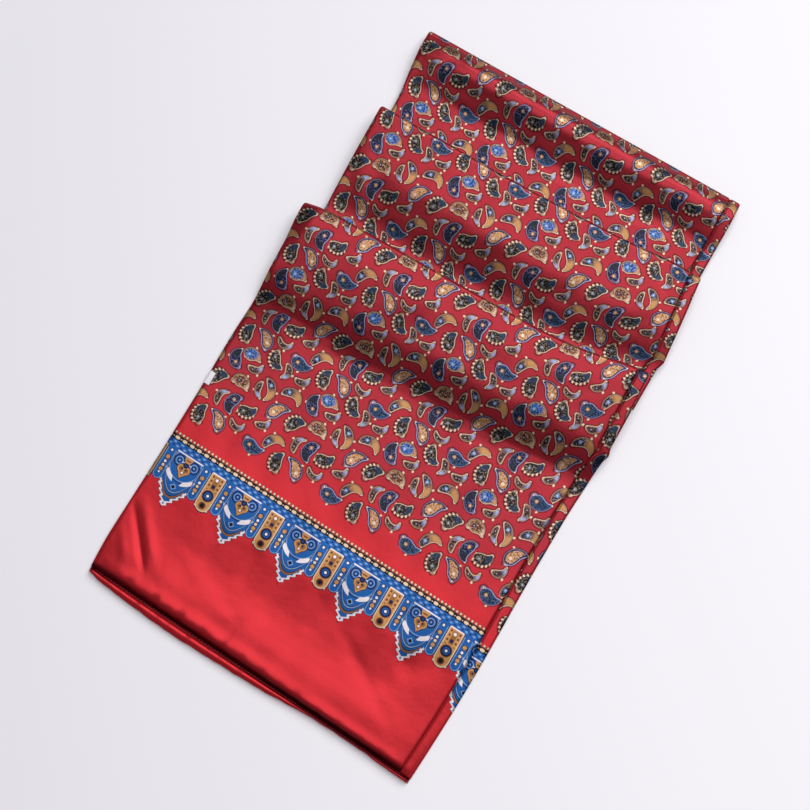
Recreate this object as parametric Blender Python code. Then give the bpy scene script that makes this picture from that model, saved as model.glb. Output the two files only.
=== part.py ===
"""A long silk scarf, laid in loose accordion folds on a flat surface.

The scarf is a flat tube: a printed face panel and a back panel, sewn together along both long
sides, with a turned hem across the end.  The tube lies along +Y.  It starts at the hem, rises
over the folds that lie beneath it and turns under at the first fold.  The middle stretch comes
out from under that fold and turns under at the second one, and the rear stretch turns under at
the far end.  The right side has rolled a little, so a strip of the back panel shows there, up
to the sewn seam.

Tables are in millimetres.  "along" runs from the hem (0) to the far end, and "across" from the
left (-) to the right (+) with 0 in the middle of the hem.  A stretch is a ring, swept along its
path: each ring is the section of the whole tube, split at its two seams.
"""

import math

import bmesh
import bpy
import numpy as np

MM = 0.001

# ---- driving sizes ------------------------------------------------------------------------
WALL = 1.0                # thickness of one panel, as modelled
SEAM_GAP = 0.3            # between pieces that are sewn together or lie on each other
TUBE_HEIGHT = 3.0         # both panels with the air between them, at the sides and in a fold
FLATTEST = 2.4            # both panels where a crease presses them together
BEND_RADIUS = 1.5         # inside of a fold
SIDE_STRIP = 8.5          # strip of the back panel that shows beyond the right seam
LEFT_ROUNDING = 2.0       # the sides' rounding, across
RIGHT_ROUNDING = 2.2
HEM_SECTION = ((0.0, 0.8), (0.4, 0.0), (2.9, 0.0), (3.3, 0.4), (3.3, 1.5), (2.8, 1.6),
               (2.45, 3.4), (1.7, 4.4), (0.8, 4.2), (0.25, 3.3), (0.0, 2.0))  # (along, height)
HEM_PUCKER = 0.35         # how far the stitches draw the hem in
HEM_PUCKER_LIFT = 1.12    # and how much higher it is between them
HEM_PUCKER_PITCH = 23.0
HEM_RINGS = 25
LAYERS = 3                # layers that show at the sides of the folds underneath
LAYER_ROUNDING = 1.2
HIDDEN_INSET = 2.5        # the folds underneath end this far inside the edges above them
HIDDEN_GAP = 0.6          # and stay this far below what lies on them
CENTRE_ACROSS = 4.08      # middle of the whole scarf's box, moved to the origin
CENTRE_ALONG = 239.88

# ---- where the folds and ends run: (across, along, relative to the line's own station) -----
HEM_AT = 0.0
HEM_LINE = ((-150.0, 7.3), (0.0, 0.0), (150.0, -7.3))
HEM_REACH = ((-134.8, 0.3), (-120.0, 2.7), (-100.0, 4.0), (-80.0, 4.9), (-60.0, 5.3),
             (-30.0, 4.5), (0.0, 3.4), (20.0, 2.4), (40.0, 0.4), (60.0, -0.9), (80.0, -1.1),
             (100.0, -0.9), (120.0, 0.0), (134.8, 0.0))      # (across, how far the roll bulges out)
BORDER_AT = 117.0
BORDER_LINE = ((-150.0, 6.6), (0.0, 0.0), (150.0, -6.6))
FIRST_FOLD_AT = 319.0
FIRST_FOLD_LINE = ((-150.0, -2.6), (-112.0, 0.6), (-40.0, 0.0), (55.0, -0.4), (82.0, 1.0),
                   (108.0, 5.0), (130.0, 9.2), (150.0, 10.6))
SECOND_FOLD_AT = 409.5
SECOND_FOLD_LINE = ((-150.0, 3.4), (-80.0, 1.4), (0.0, 0.0), (50.0, 0.4), (90.0, 1.6),
                    (118.0, 3.6), (136.0, 3.0), (150.0, 2.0))
FAR_END_AT = 484.0
FAR_END_LINE = ((-150.0, 3.3), (0.0, 0.0), (150.0, -3.3))

# ---- side edges: (along, left, right) -----------------------------------------------------
FRONT_EDGES = ((0.0, -134.8, 134.8), (30.0, -136.4, 136.8), (64.0, -136.0, 138.6),
               (105.0, -135.6, 139.8), (156.0, -135.8, 140.2), (203.0, -136.7, 141.4),
               (231.0, -136.2, 143.2), (250.0, -136.3, 144.6), (256.0, -136.5, 146.6),
               (260.0, -136.7, 145.2), (284.0, -137.6, 144.8), (305.0, -139.8, 143.8),
               (330.0, -140.8, 143.2))
MIDDLE_EDGES = ((285.0, -126.6, 146.0), (326.0, -126.6, 147.0), (334.0, -126.8, 149.0),
                (342.0, -127.0, 148.2), (370.0, -127.8, 146.0), (412.0, -129.4, 142.4))
REAR_EDGES = ((380.0, -122.8, 142.0), (414.0, -123.1, 142.2), (450.0, -126.8, 142.4),
              (490.0, -130.4, 142.0))

# ---- paths: (along, lift), the height of each stretch's underside in the middle -----------
FRONT_PATH = ((3.6, 0.0), (226.0, 0.0), (236.0, 1.0), (244.0, 4.0), (252.0, 7.2),
              (260.0, 9.2), (272.0, 11.0), (286.0, 12.8), (300.0, 14.4), (307.0, 15.0),
              (314.5, 15.0))
MIDDLE_PATH = ((292.0, 5.0), (310.0, 5.0), (321.0, 4.4), (328.0, 5.1), (342.0, 8.0),
               (358.0, 10.6), (376.0, 12.3), (392.0, 12.8), (405.0, 12.8))
REAR_PATH = ((384.0, 3.2), (412.0, 3.3), (432.0, 3.2), (440.0, 4.2), (448.0, 6.0),
             (458.0, 8.2), (466.0, 9.6), (473.0, 8.2), (479.5, 6.05))

# ---- fullness: (along, crown), how far the face panel swells between the sides ------------
FRONT_CROWN = ((3.6, -0.6), (4.5, -0.4), (6.5, 2.6), (8.1, 3.5), (12.0, 3.3), (24.0, 2.8),
               (34.0, 1.8), (44.0, 0.9), (52.0, 0.6), (66.0, 0.7), (82.0, 1.1), (100.0, 1.2),
               (130.0, 1.0), (190.0, 1.2), (238.0, 1.9), (262.0, 1.4), (292.0, 1.7),
               (306.0, 0.7), (314.5, 0.0))
MIDDLE_CROWN = ((292.0, 0.0), (316.0, 0.0), (326.0, -0.6), (344.0, 0.5), (364.0, 2.3),
                (376.0, 2.0), (388.0, 1.5), (398.0, 0.6), (405.0, 0.0))
REAR_CROWN = ((384.0, 0.0), (411.0, 0.1), (424.0, 0.0), (437.0, -0.6), (450.0, 0.9),
              (466.0, 3.0), (472.0, 2.3), (479.5, 0.0))
CROWN_SHOULDER = 5.0      # power of the crown's shape across: higher is flatter in the middle
CROWN_END = 12.0          # the creases fade out this far before the last of these stations

# ---- the largest creases: (from across, along, to across, along, half width, height) ------
CREASES = ((88.0, 56.0, 122.0, 88.0, 11.0, -1.0),
           (60.0, 262.0, 146.0, 226.0, 12.0, -1.1),
           (112.0, 404.0, 146.0, 356.0, 4.5, -1.4))
CREASE_FADE = 0.3         # share of a crease's length over which it fades at each end

# ---- drooping end of the first fold, at the left -------------------------------------------
DROOP = 0.2               # share of its height that the fold's left end loses
DROOP_ACROSS = (-126.0, -141.0)
DROOP_ALONG = (262.0, 300.0)

# ---- stations along each path: (from, to, count) ------------------------------------------
FRONT_STATIONS = ((3.6, 4.7, 2), (6.5, 8.7, 2), (15.0, 15.0, 1), (25.0, 64.0, 4),
                  (82.0, 226.0, 6), (233.0, 268.0, 6), (281.0, 307.0, 3), (314.5, 314.5, 1))
MIDDLE_STATIONS = ((292.0, 312.0, 2), (321.0, 393.0, 10), (405.0, 405.0, 1))
REAR_STATIONS = ((386.0, 411.0, 2), (426.0, 474.0, 7), (479.5, 479.5, 1))
BEND_STEPS = 5
LAPS = {"front": 12.0, "middle": 9.0, "rear": 12.0}

# ---- ring points ---------------------------------------------------------------------------
LEFT_STEPS = 3            # on each half of the left side
RIGHT_STEPS = 4
FACE_STEPS = 14           # points across the face panel, matched by the back panel

# ---- the folds underneath: (along, bottom), each with what lies on it ----------------------
HIDDEN_ROWS = (("front", 241.0, 0.0), ("front", 248.0, 0.0), ("front", 256.0, 0.0),
               ("front", 265.0, 0.0), ("front", 275.0, 0.0), ("front", 287.0, 0.0),
               ("ledge", 288.5, 0.0), ("ledge", 307.0, 0.0), ("middle", 315.0, 0.0),
               ("middle", 321.0, 0.0), ("middle", 325.0, 0.0), ("middle", 330.0, 0.0),
               ("middle", 337.0, 0.0), ("middle", 347.0, 0.0), ("middle", 358.0, 0.0),
               ("middle", 370.0, 0.0), ("middle", 382.0, 0.0), ("rear", 383.5, 0.0),
               ("rear", 411.0, 0.0), ("rear", 424.0, 0.0), ("rear", 434.0, 0.0),
               ("rear", 440.0, 0.0), ("rear", 447.0, 0.0), ("rear", 456.0, 0.0),
               ("rear", 464.8, 0.0), ("rear", 465.2, 3.3), ("rear", 473.0, 3.3),
               ("rear", 479.0, 3.4))
HIDDEN_STEPS = 10

# ---- label ---------------------------------------------------------------------------------
LABEL_ALONG = (158.2, 168.8)
LABEL_POINTS = (4, 5)     # along, across
LABEL_INSET = 0.5
LABEL_WIDTH = 4.4
LABEL_WALL = 0.8

# ---- finishes: slot, colour, roughness ------------------------------------------------------
PRINTED_SILK = ("printed_silk", (0.53, 0.03, 0.05, 1.0), 0.38)
LABEL_CLOTH = ("label_satin", (0.86, 0.85, 0.88, 1.0), 0.5)
SHARP_DEGREES = 50        # edges that turn more than this stay sharp


def smooth_curve(rows, at):
    """Value at each position of a monotone cubic curve through (position, value) rows."""
    at = np.asarray(at, float)
    known = np.array([row[0] for row in rows], float)
    value = np.array([row[1] for row in rows], float)
    step = np.diff(known)
    slope = np.diff(value) / step
    tangent = np.concatenate(([slope[0]], np.zeros(len(slope) - 1), [slope[-1]]))
    for index in range(1, len(slope)):
        before, after = slope[index - 1], slope[index]
        if before * after > 0:
            tangent[index] = 2 * before * after / (before + after)
    at = np.clip(at, known[0], known[-1])
    cell = np.clip(np.searchsorted(known, at, side="right") - 1, 0, len(step) - 1)
    t = (at - known[cell]) / step[cell]
    return ((1 + 2 * t) * (1 - t) ** 2 * value[cell] + t * (1 - t) ** 2 * step[cell] * tangent[cell]
            + t * t * (3 - 2 * t) * value[cell + 1] + t * t * (t - 1) * step[cell] * tangent[cell + 1])


def ease(start, end, at):
    """0 at start, 1 at end, with a soft turn at both."""
    t = np.clip((at - start) / (end - start), 0.0, 1.0)
    return t * t * (3 - 2 * t)


def lean(across, along):
    """How far the cloth's cross lines run ahead of their station, at each place."""
    lines = [(HEM_AT, HEM_LINE), (BORDER_AT, BORDER_LINE), (FIRST_FOLD_AT, FIRST_FOLD_LINE),
             (SECOND_FOLD_AT, SECOND_FOLD_LINE), (FAR_END_AT, FAR_END_LINE)]
    result = smooth_curve(lines[0][1], across)
    for (start, _), (end, line) in zip(lines, lines[1:]):
        share = ease(start, end, along)
        result = result * (1 - share) + smooth_curve(line, across) * share
    return result


def settle(across, along):
    """Share of its lift that the cloth keeps: less at the drooping end of the first fold."""
    drooping = ease(DROOP_ACROSS[0], DROOP_ACROSS[1], across) * ease(*DROOP_ALONG, along)
    return 1.0 - DROOP * drooping


def creases(across, along):
    """Height that the largest creases add to the face panel."""
    total = np.zeros(np.broadcast(across, along).shape)
    for x0, y0, x1, y1, half_width, height in CREASES:
        length = math.hypot(x1 - x0, y1 - y0)
        along_crease = ((across - x0) * (x1 - x0) + (along - y0) * (y1 - y0)) / length
        off_crease = ((across - x0) * (y1 - y0) - (along - y0) * (x1 - x0)) / length
        fade = (ease(0.0, CREASE_FADE * length, along_crease)
                * ease(length, (1 - CREASE_FADE) * length, along_crease))
        total = total + height * fade * np.exp(-(off_crease / half_width) ** 2)
    return total


def edges(rows, along):
    left = smooth_curve([(row[0], row[1]) for row in rows], along)
    right = smooth_curve([(row[0], row[2]) for row in rows], along)
    return left, right


def swell(crown_rows, across, along, left, right):
    """Height of the face panel above the back panel's underside."""
    share = 2 * (across - left) / (right - left) - 1
    across_shape = 1 - np.abs(share) ** CROWN_SHOULDER
    crown = smooth_curve(crown_rows, along)
    inside = ease(crown_rows[-1][0], crown_rows[-1][0] - CROWN_END, along)
    height = TUBE_HEIGHT + (crown + creases(across, along) * inside) * across_shape
    return np.maximum(height, FLATTEST)


def stretch_path(path_rows, station_rows, lap):
    """Stations (y, z), their normals and the along value of each: up the path and round."""
    along = np.concatenate([np.linspace(*row) for row in station_rows])
    lift = smooth_curve(path_rows, along)
    fine = 0.5
    rise = (smooth_curve(path_rows, along + fine) - smooth_curve(path_rows, along - fine)) / (2 * fine)
    size = np.sqrt(1 + rise ** 2)
    points = list(zip(along, lift))
    normals = list(zip(-rise / size, 1 / size))
    end_along, end_lift = points[-1]
    for step in range(1, BEND_STEPS + 1):
        angle = math.pi / 2 - math.pi * step / BEND_STEPS
        points.append((end_along + BEND_RADIUS * math.cos(angle),
                       end_lift - BEND_RADIUS + BEND_RADIUS * math.sin(angle)))
        normals.append((math.cos(angle), math.sin(angle)))
    points.append((end_along - lap, end_lift - 2 * BEND_RADIUS))
    normals.append((0.0, -1.0))
    stations = np.concatenate([along, np.full(BEND_STEPS + 1, end_along)])
    return np.array(points), np.array(normals), stations


def tube_ring(left, right, height):
    """Section of the tube as (across, height) points, with how many belong to the face.

    It starts at the left seam, runs over the face to the right seam, and back round the
    rolled strip and the underside.  height(across) is the top of the face panel.
    """
    middle = TUBE_HEIGHT / 2
    seam = right - SIDE_STRIP
    left_centre = left + LEFT_ROUNDING
    right_centre = right - RIGHT_ROUNDING
    gap_angle = SEAM_GAP / 2 / middle
    ring = []
    for angle in np.linspace(math.pi - gap_angle, math.pi / 2, LEFT_STEPS + 1)[:-1]:
        ring.append((left_centre + LEFT_ROUNDING * math.cos(angle), middle + middle * math.sin(angle)))
    face_across = np.linspace(left_centre, seam - SEAM_GAP / 2, FACE_STEPS)
    ring += list(zip(face_across, height(face_across)))
    face_count = len(ring)
    strip_across = np.array([seam + SEAM_GAP / 2, (seam + right_centre) / 2])
    ring += list(zip(strip_across, height(strip_across)))
    for angle in np.linspace(math.pi / 2, -math.pi / 2, RIGHT_STEPS + 1):
        ring.append((right_centre + RIGHT_ROUNDING * math.cos(angle), middle + middle * math.sin(angle)))
    for across in face_across[::-1]:
        ring.append((across, 0.0))
    for angle in np.linspace(-math.pi / 2, -math.pi + gap_angle, LEFT_STEPS + 1)[1:]:
        ring.append((left_centre + LEFT_ROUNDING * math.cos(angle), middle + middle * math.sin(angle)))
    return np.array(ring), face_count


def tube_surface(path_rows, station_rows, lap, edge_rows, crown_rows):
    """Outer points of a stretch's whole tube, as a grid of stations by ring points."""
    points, normals, stations = stretch_path(path_rows, station_rows, lap)
    grid = []
    for (y, z), (normal_y, normal_z), along in zip(points, normals, stations):
        left, right = edges(edge_rows, y)
        ring, face_count = tube_ring(
            left, right, lambda across: swell(crown_rows, across, along, left, right))
        across, height = ring[:, 0], ring[:, 1]
        world_y = y + height * normal_y + lean(across, y)
        world_z = z * settle(across, y) + height * normal_z
        grid.append(np.stack([across, world_y, world_z], axis=1))
    return np.array(grid), face_count


def tangent(before, after):
    """Direction through a point, the nearer neighbour counting more."""
    near = np.linalg.norm(before, axis=-1, keepdims=True)
    far = np.linalg.norm(after, axis=-1, keepdims=True)
    return before * far / near + after * near / far


def inward(grid):
    """The points of a tube's outer grid, moved in by the wall along the surface's normals."""
    ahead = np.roll(grid, -1, axis=1) - grid
    around = tangent(np.roll(ahead, 1, axis=1), ahead)
    step = np.diff(grid, axis=0)
    forward = tangent(np.concatenate([step[:1], step]), np.concatenate([step, step[-1:]]))
    normal = np.cross(around, forward)
    normal /= np.linalg.norm(normal, axis=2, keepdims=True)
    return grid - WALL * normal


def silk(slot, colour, roughness):
    """Principled material of the given slot."""
    material = bpy.data.materials.new(slot)
    material.use_nodes = True
    shader = material.node_tree.nodes["Principled BSDF"]
    shader.inputs["Base Color"].default_value = colour
    shader.inputs["Roughness"].default_value = roughness
    shader.inputs["Metallic"].default_value = 0.0
    return material


def add_object(name, points, faces, finish):
    """One named, closed mesh, in metres, with its faces pointing out."""
    shifted = (np.array(points) - (CENTRE_ACROSS, CENTRE_ALONG, 0.0)) * MM
    mesh = bpy.data.meshes.new(name)
    mesh.from_pydata([tuple(point) for point in shifted.tolist()], [], faces)
    shape = bmesh.new()
    shape.from_mesh(mesh)
    bmesh.ops.recalc_face_normals(shape, faces=shape.faces)
    shape.to_mesh(mesh)
    shape.free()
    mesh.materials.append(silk(*finish))
    mesh.shade_smooth()
    mesh.set_sharp_from_angle(angle=math.radians(SHARP_DEGREES))
    piece = bpy.data.objects.new(name, mesh)
    bpy.context.scene.collection.objects.link(piece)
    return piece


def grid_faces(rows, columns, start, flip):
    """Quads of a grid whose first point has the index start."""
    faces = []
    for row in range(rows - 1):
        for column in range(columns - 1):
            corner = start + row * columns + column
            quad = (corner, corner + 1, corner + columns + 1, corner + columns)
            faces.append(quad[::-1] if flip else quad)
    return faces


def add_wall(name, outer, inner, finish):
    """A panel as one closed wall between its outer and inner grids."""
    rows, columns = outer.shape[:2]
    offset = rows * columns
    faces = grid_faces(rows, columns, 0, False) + grid_faces(rows, columns, offset, True)
    rim = [column for column in range(columns)]
    rim += [row * columns + columns - 1 for row in range(1, rows)]
    rim += [(rows - 1) * columns + column for column in range(columns - 2, -1, -1)]
    rim += [row * columns for row in range(rows - 2, 0, -1)]
    for here, there in zip(rim, rim[1:] + rim[:1]):
        faces.append((here, there, there + offset, here + offset))
    points = np.concatenate([outer.reshape(-1, 3), inner.reshape(-1, 3)])
    return add_object(name, points, faces, finish)


def add_loft(name, rings, finish):
    """A closed solid through rings of equal point count, with flat ends."""
    rings = np.array(rings)
    count, around = rings.shape[:2]
    faces = []
    for ring in range(count - 1):
        for point in range(around):
            here = ring * around + point
            there = ring * around + (point + 1) % around
            faces.append((here, there, there + around, here + around))
    faces.append(tuple(range(around)))
    faces.append(tuple(range((count - 1) * around, count * around)))
    return add_object(name, rings.reshape(-1, 3), faces, finish)


def add_stretch(name, path_rows, station_rows, edge_rows, crown_rows):
    """Face and back panel of one stretch of the tube."""
    outer, face_count = tube_surface(path_rows, station_rows, LAPS[name], edge_rows, crown_rows)
    inner = inward(outer)
    add_wall(name + "_face", outer[:, :face_count], inner[:, :face_count], PRINTED_SILK)
    add_wall(name + "_back", outer[:, face_count:], inner[:, face_count:], PRINTED_SILK)


def add_hem():
    """The turned hem: a flat roll with a straight underside, drawn in a little by its stitches."""
    left, right = edges(FRONT_EDGES, HEM_AT)
    depth = max(along for along, _ in HEM_SECTION)
    top = max(height for _, height in HEM_SECTION)
    rings = []
    for across in np.linspace(left, right, HEM_RINGS):
        wave = math.sin(2 * math.pi * across / HEM_PUCKER_PITCH)
        width = depth + float(smooth_curve(HEM_REACH, across))
        ring = []
        for along, height in HEM_SECTION:
            drawn = HEM_PUCKER * wave if along < depth / 2 else 0.0
            lift = 1 + (HEM_PUCKER_LIFT - 1) * wave if height > top / 2 else 1.0
            place = depth - (depth - along) * width / depth + drawn
            ring.append((across, place + lean(across, HEM_AT), height * lift))
        rings.append(ring)
    add_loft("end_hem", rings, PRINTED_SILK)


def hidden_ring(cover, along, bottom):
    """Section of the folds underneath: flat below and above, with layers at both sides."""
    covers = {"front": (FRONT_PATH, FRONT_EDGES), "ledge": (MIDDLE_PATH, FRONT_EDGES),
              "middle": (MIDDLE_PATH, MIDDLE_EDGES), "rear": (REAR_PATH, REAR_EDGES)}
    path_rows, edge_rows = covers[cover]
    left, right = edges(edge_rows, along)
    left, right = left + HIDDEN_INSET, right - HIDDEN_INSET
    top = smooth_curve(path_rows, along) - HIDDEN_GAP
    side_steps = 2 * LAYERS
    share = np.linspace(0.0, 1.0, side_steps + 1)
    bulge = LAYER_ROUNDING * (1 - np.abs(np.cos(math.pi * share * LAYERS)))
    heights = bottom + (top - bottom) * share
    across = np.linspace(left, right, HIDDEN_STEPS)
    ring = [(x, bottom) for x in across[1:-1]]
    ring += [(right + out - LAYER_ROUNDING, z) for out, z in zip(bulge, heights)]
    ring += [(x, top) for x in across[-2:0:-1]]
    ring += [(left - out + LAYER_ROUNDING, z) for out, z in zip(bulge[::-1], heights[::-1])]
    points = []
    for x, z in ring:
        kept = settle(x, along) if z > bottom else 1.0
        points.append((x, along + lean(x, along), z * kept))
    return points


def add_hidden_folds():
    """One rounded solid for the layers that lie out of sight."""
    rings = [hidden_ring(*row) for row in HIDDEN_ROWS]
    add_loft("hidden_folds", rings, PRINTED_SILK)


def front_top(across, along):
    """Height of the front face panel's top on its flat stretch, rounded at the left edge."""
    left, right = edges(FRONT_EDGES, along)
    top = swell(FRONT_CROWN, across, along, left, right)
    inset = np.clip((left + LEFT_ROUNDING - across) / LEFT_ROUNDING, 0.0, 1.0)
    return top / 2 + top / 2 * np.sqrt(1 - inset ** 2)


def add_label():
    """Small blank label, lying on the face panel beside the left seam."""
    along, share = np.meshgrid(np.linspace(*LABEL_ALONG, LABEL_POINTS[0]),
                               np.linspace(0.0, 1.0, LABEL_POINTS[1]), indexing="ij")
    left, _ = edges(FRONT_EDGES, along)
    across = left + LABEL_INSET + LABEL_WIDTH * share
    lower = front_top(across, along) + SEAM_GAP
    world_y = along + lean(across, along)
    inner = np.stack([across, world_y, lower], axis=2)
    outer = inner + np.array((0.0, 0.0, LABEL_WALL))
    add_wall("size_label", outer, inner, LABEL_CLOTH)


def main():
    for old in list(bpy.data.objects):
        bpy.data.objects.remove(old, do_unlink=True)
    add_stretch("front", FRONT_PATH, FRONT_STATIONS, FRONT_EDGES, FRONT_CROWN)
    add_stretch("middle", MIDDLE_PATH, MIDDLE_STATIONS, MIDDLE_EDGES, MIDDLE_CROWN)
    add_stretch("rear", REAR_PATH, REAR_STATIONS, REAR_EDGES, REAR_CROWN)
    add_hem()
    add_hidden_folds()
    add_label()


main()
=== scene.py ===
"""Looks of a long silk scarf, laid in loose accordion folds on a pale table.

The scarf is a flat tube of satin: a printed face panel and a back panel, sewn together along both
long sides, with a turned hem.  Each stretch that shows is a pair of thin cloth walls on the form
of its solids, with the creases of the cloth added.  The print is drawn by shader nodes on a UV
map that holds the cloth's own millimetres, divided by UV_MM.

Tables are in millimetres.  "along" runs from the hem (0) to the far end, and "across" from the
left (-) to the right (+) with 0 in the middle of the hem.
"""

import math

import bmesh
import bpy
import numpy as np
from mathutils import Matrix, Vector

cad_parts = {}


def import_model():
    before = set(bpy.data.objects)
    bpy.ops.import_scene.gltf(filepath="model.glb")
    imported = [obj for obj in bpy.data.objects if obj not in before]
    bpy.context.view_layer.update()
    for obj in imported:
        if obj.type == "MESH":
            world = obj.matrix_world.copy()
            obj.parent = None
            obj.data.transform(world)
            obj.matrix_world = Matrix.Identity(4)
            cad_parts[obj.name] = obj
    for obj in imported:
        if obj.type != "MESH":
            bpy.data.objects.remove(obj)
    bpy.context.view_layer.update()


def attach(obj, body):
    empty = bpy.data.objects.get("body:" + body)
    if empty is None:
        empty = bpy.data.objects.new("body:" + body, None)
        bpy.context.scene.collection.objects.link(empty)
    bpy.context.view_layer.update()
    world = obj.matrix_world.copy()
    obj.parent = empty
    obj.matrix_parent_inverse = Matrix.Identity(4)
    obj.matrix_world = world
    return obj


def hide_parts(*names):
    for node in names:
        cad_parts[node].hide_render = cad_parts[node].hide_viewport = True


MM = 0.001
UV_MM = 100.0             # millimetres of cloth to one unit of the UV map

# ---- the form, as in the solids -------------------------------------------------------------
SILK_WALL = 0.35          # thickness of one panel
TUBE_HEIGHT = 3.0         # both panels with the air between them, at the sides and in a fold
FLATTEST = 1.3            # both panels where a crease presses them together
BEND_RADIUS = 1.5         # inside of a fold
SIDE_STRIP = 8.5          # strip of the back panel that shows beyond the right seam
LEFT_ROUNDING = 2.0
RIGHT_ROUNDING = 2.2
CENTRE_ACROSS = 4.08      # middle of the whole scarf's box, moved to the origin
CENTRE_ALONG = 239.88

HEM_AT = 0.0
HEM_LINE = ((-150, 7.3), (0, 0), (150, -7.3))
HEM_REACH = ((-134.8, 0.3), (-120, 2.7), (-100, 4), (-80, 4.9), (-60, 5.3), (-30, 4.5), (0, 3.4),
             (20, 2.4), (40, 0.4), (60, -0.9), (80, -1.1), (100, -0.9), (120, 0), (134.8, 0))
BORDER_AT = 117.0
BORDER_LINE = ((-150, 6.6), (0, 0), (150, -6.6))
FIRST_FOLD_AT = 319.0
FIRST_FOLD_LINE = ((-150, -2.6), (-112, 0.6), (-40, 0), (55, -0.4), (82, 1), (108, 5), (130, 9.2),
                   (150, 10.6))
SECOND_FOLD_AT = 409.5
SECOND_FOLD_LINE = ((-150, 3.4), (-80, 1.4), (0, 0), (50, 0.4), (90, 1.6), (118, 3.6), (136, 3),
                    (150, 2))
FAR_END_AT = 484.0
FAR_END_LINE = ((-150, 3.3), (0, 0), (150, -3.3))

FRONT_EDGES = ((0, -134.8, 134.8), (30, -136.4, 136.8), (64, -136, 138.6), (105, -135.6, 139.8),
               (156, -135.8, 140.2), (203, -136.7, 141.4), (231, -136.2, 143.2), (250, -136.3, 144.6),
               (256, -136.5, 146.6), (260, -136.7, 145.2), (284, -137.6, 144.8), (305, -139.8, 143.8),
               (330, -140.8, 143.2))
MIDDLE_EDGES = ((285, -126.6, 146), (326, -126.6, 147), (334, -126.8, 149), (342, -127, 148.2),
                (370, -127.8, 146), (412, -129.4, 142.4))
REAR_EDGES = ((380, -122.8, 142), (414, -123.1, 142.2), (450, -126.8, 142.4), (490, -130.4, 142))

FRONT_PATH = ((3.6, 0), (226, 0), (236, 1), (244, 4), (252, 7.2), (260, 9.2), (272, 11), (286, 12.8),
              (300, 14.4), (307, 15), (314.5, 15))
MIDDLE_PATH = ((292, 5), (310, 5), (321, 4.4), (328, 5.1), (342, 8), (358, 10.6), (376, 12.3),
               (392, 12.8), (405, 12.8))
REAR_PATH = ((384, 3.2), (412, 3.3), (432, 3.2), (440, 4.2), (448, 6), (458, 8.2), (466, 9.6), (473, 8.2),
             (479.5, 6.05))

FRONT_CROWN = ((3.6, -0.6), (4.5, -0.4), (6.5, 2.6), (8.1, 3.5), (12, 3.3), (24, 2.8), (34, 1.8),
               (44, 0.9), (52, 0.6), (66, 0.7), (82, 1.1), (100, 1.2), (130, 1), (190, 1.2), (238, 1.9),
               (262, 1.4), (292, 1.7), (306, 0.7), (314.5, 0))
MIDDLE_CROWN = ((292, 0), (316, 0), (326, -0.6), (344, 0.5), (364, 2.3), (376, 2), (388, 1.5), (398, 0.6),
                (405, 0))
REAR_CROWN = ((384, 0), (411, 0.1), (424, 0), (437, -0.6), (450, 0.9), (466, 3), (472, 2.3), (479.5, 0))
CROWN_SHOULDER = 5.0      # the power by which the panel rounds off at its sides
CROWN_END = 12.0          # the creases fade over this length at a stretch's end

CREASES = ((88, 56, 122, 88, 11, -1), (60, 262, 146, 226, 12, -1.1), (112, 404, 146, 356, 4.5, -1.4))
CREASE_FADE = 0.3         # share of a crease's length over which it fades, at both ends

DROOP = 0.2               # share of its lift that the cloth loses where it droops: from, to
DROOP_ACROSS = (-126.0, -141.0)
DROOP_ALONG = (262.0, 300.0)

# ---- creases that only the cloth has: (from across, along, to across, along, half width, height)
SOFT_FOLDS = {
    "front": ((-141, 67, -97, 17, 2, -2.4), (-134, 70, -92, 24, 3.6, 1), (-150, 62, -112, 14, 3.4, 0.8),
              (-160, 4.8, 40, 4.6, 1.8, -1.5), (20, 4.6, 160, 4.8, 1.4, -0.8),
              (-190, 11.8, 60, 10.6, 4.4, 0.8), (20, 9.8, 200, 9, 3.6, 0.45), (-40, 4, -33, 34, 5, 0.5),
              (-27, 8, -22, 34, 4, -0.4), (-14, 6, -9, 44, 6, 0.5), (-70, 84, -66, 44, 6, -0.35),
              (-38, 84, -36, 46, 5, -0.3), (19, 82, 20, 44, 6, -0.3), (59, 84, 57, 38, 5.5, -0.35),
              (88, 78, 88, 36, 8, -0.45), (30, 70, 120, 16, 5, -0.35), (-100, 52, -30, 24, 6, 0.3),
              (-132, 150, -60, 200, 14, -0.35), (-20, 132, 40, 220, 16, 0.4),
              (60, 150, 120, 232, 14, -0.4), (-100, 214, -20, 236, 9, -0.35), (20, 238, 90, 206, 9, 0.35),
              (-190, 231, -82, 236, 19, 3.6), (-72, 236, -30, 246, 7, 0.6), (10, 240, 46, 238, 7, 0.5),
              (-70, 263, 260, 262, 11, 0.9), (-136, 262, -118, 304, 5, -0.5),
              (-60, 268, -10, 300, 10, 0.35), (40, 276, 70, 304, 8, -0.3), (96, 288, 138, 300, 6, -0.5)),
    "middle": ((-170, 334, 120, 332, 10, -0.4), (-190, 372, 40, 368, 11, 0.8),
               (-200, 321, 270, 320, 6.5, -0.8), (-131, 380, -101, 332, 6, 0.9),
               (-118, 386, -90, 338, 7, -0.4), (-40, 348, 30, 374, 9, 0.4), (50, 342, 96, 384, 8, -0.4),
               (-72, 342, -30, 388, 8, -0.3), (104, 342, 140, 372, 6, -0.5)),
    "rear": ((-210, 438, 220, 437, 8, -0.4), (-240, 471, 60, 468, 9, 0.6),
             (-210, 424.5, 220, 424, 7, 0.5), (-60, 428, 12, 441, 6, 0.35), (40, 438, 92, 424, 6, -0.3),
             (-112, 438, -70, 463, 6, -0.3), (70, 446, 120, 462, 6, 0.3)),
}
COVERED_TO = {"front": -20.0, "middle": 314.0, "rear": 413.0}   # what lies on it ends here
COVER_FADE = 12.0

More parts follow.
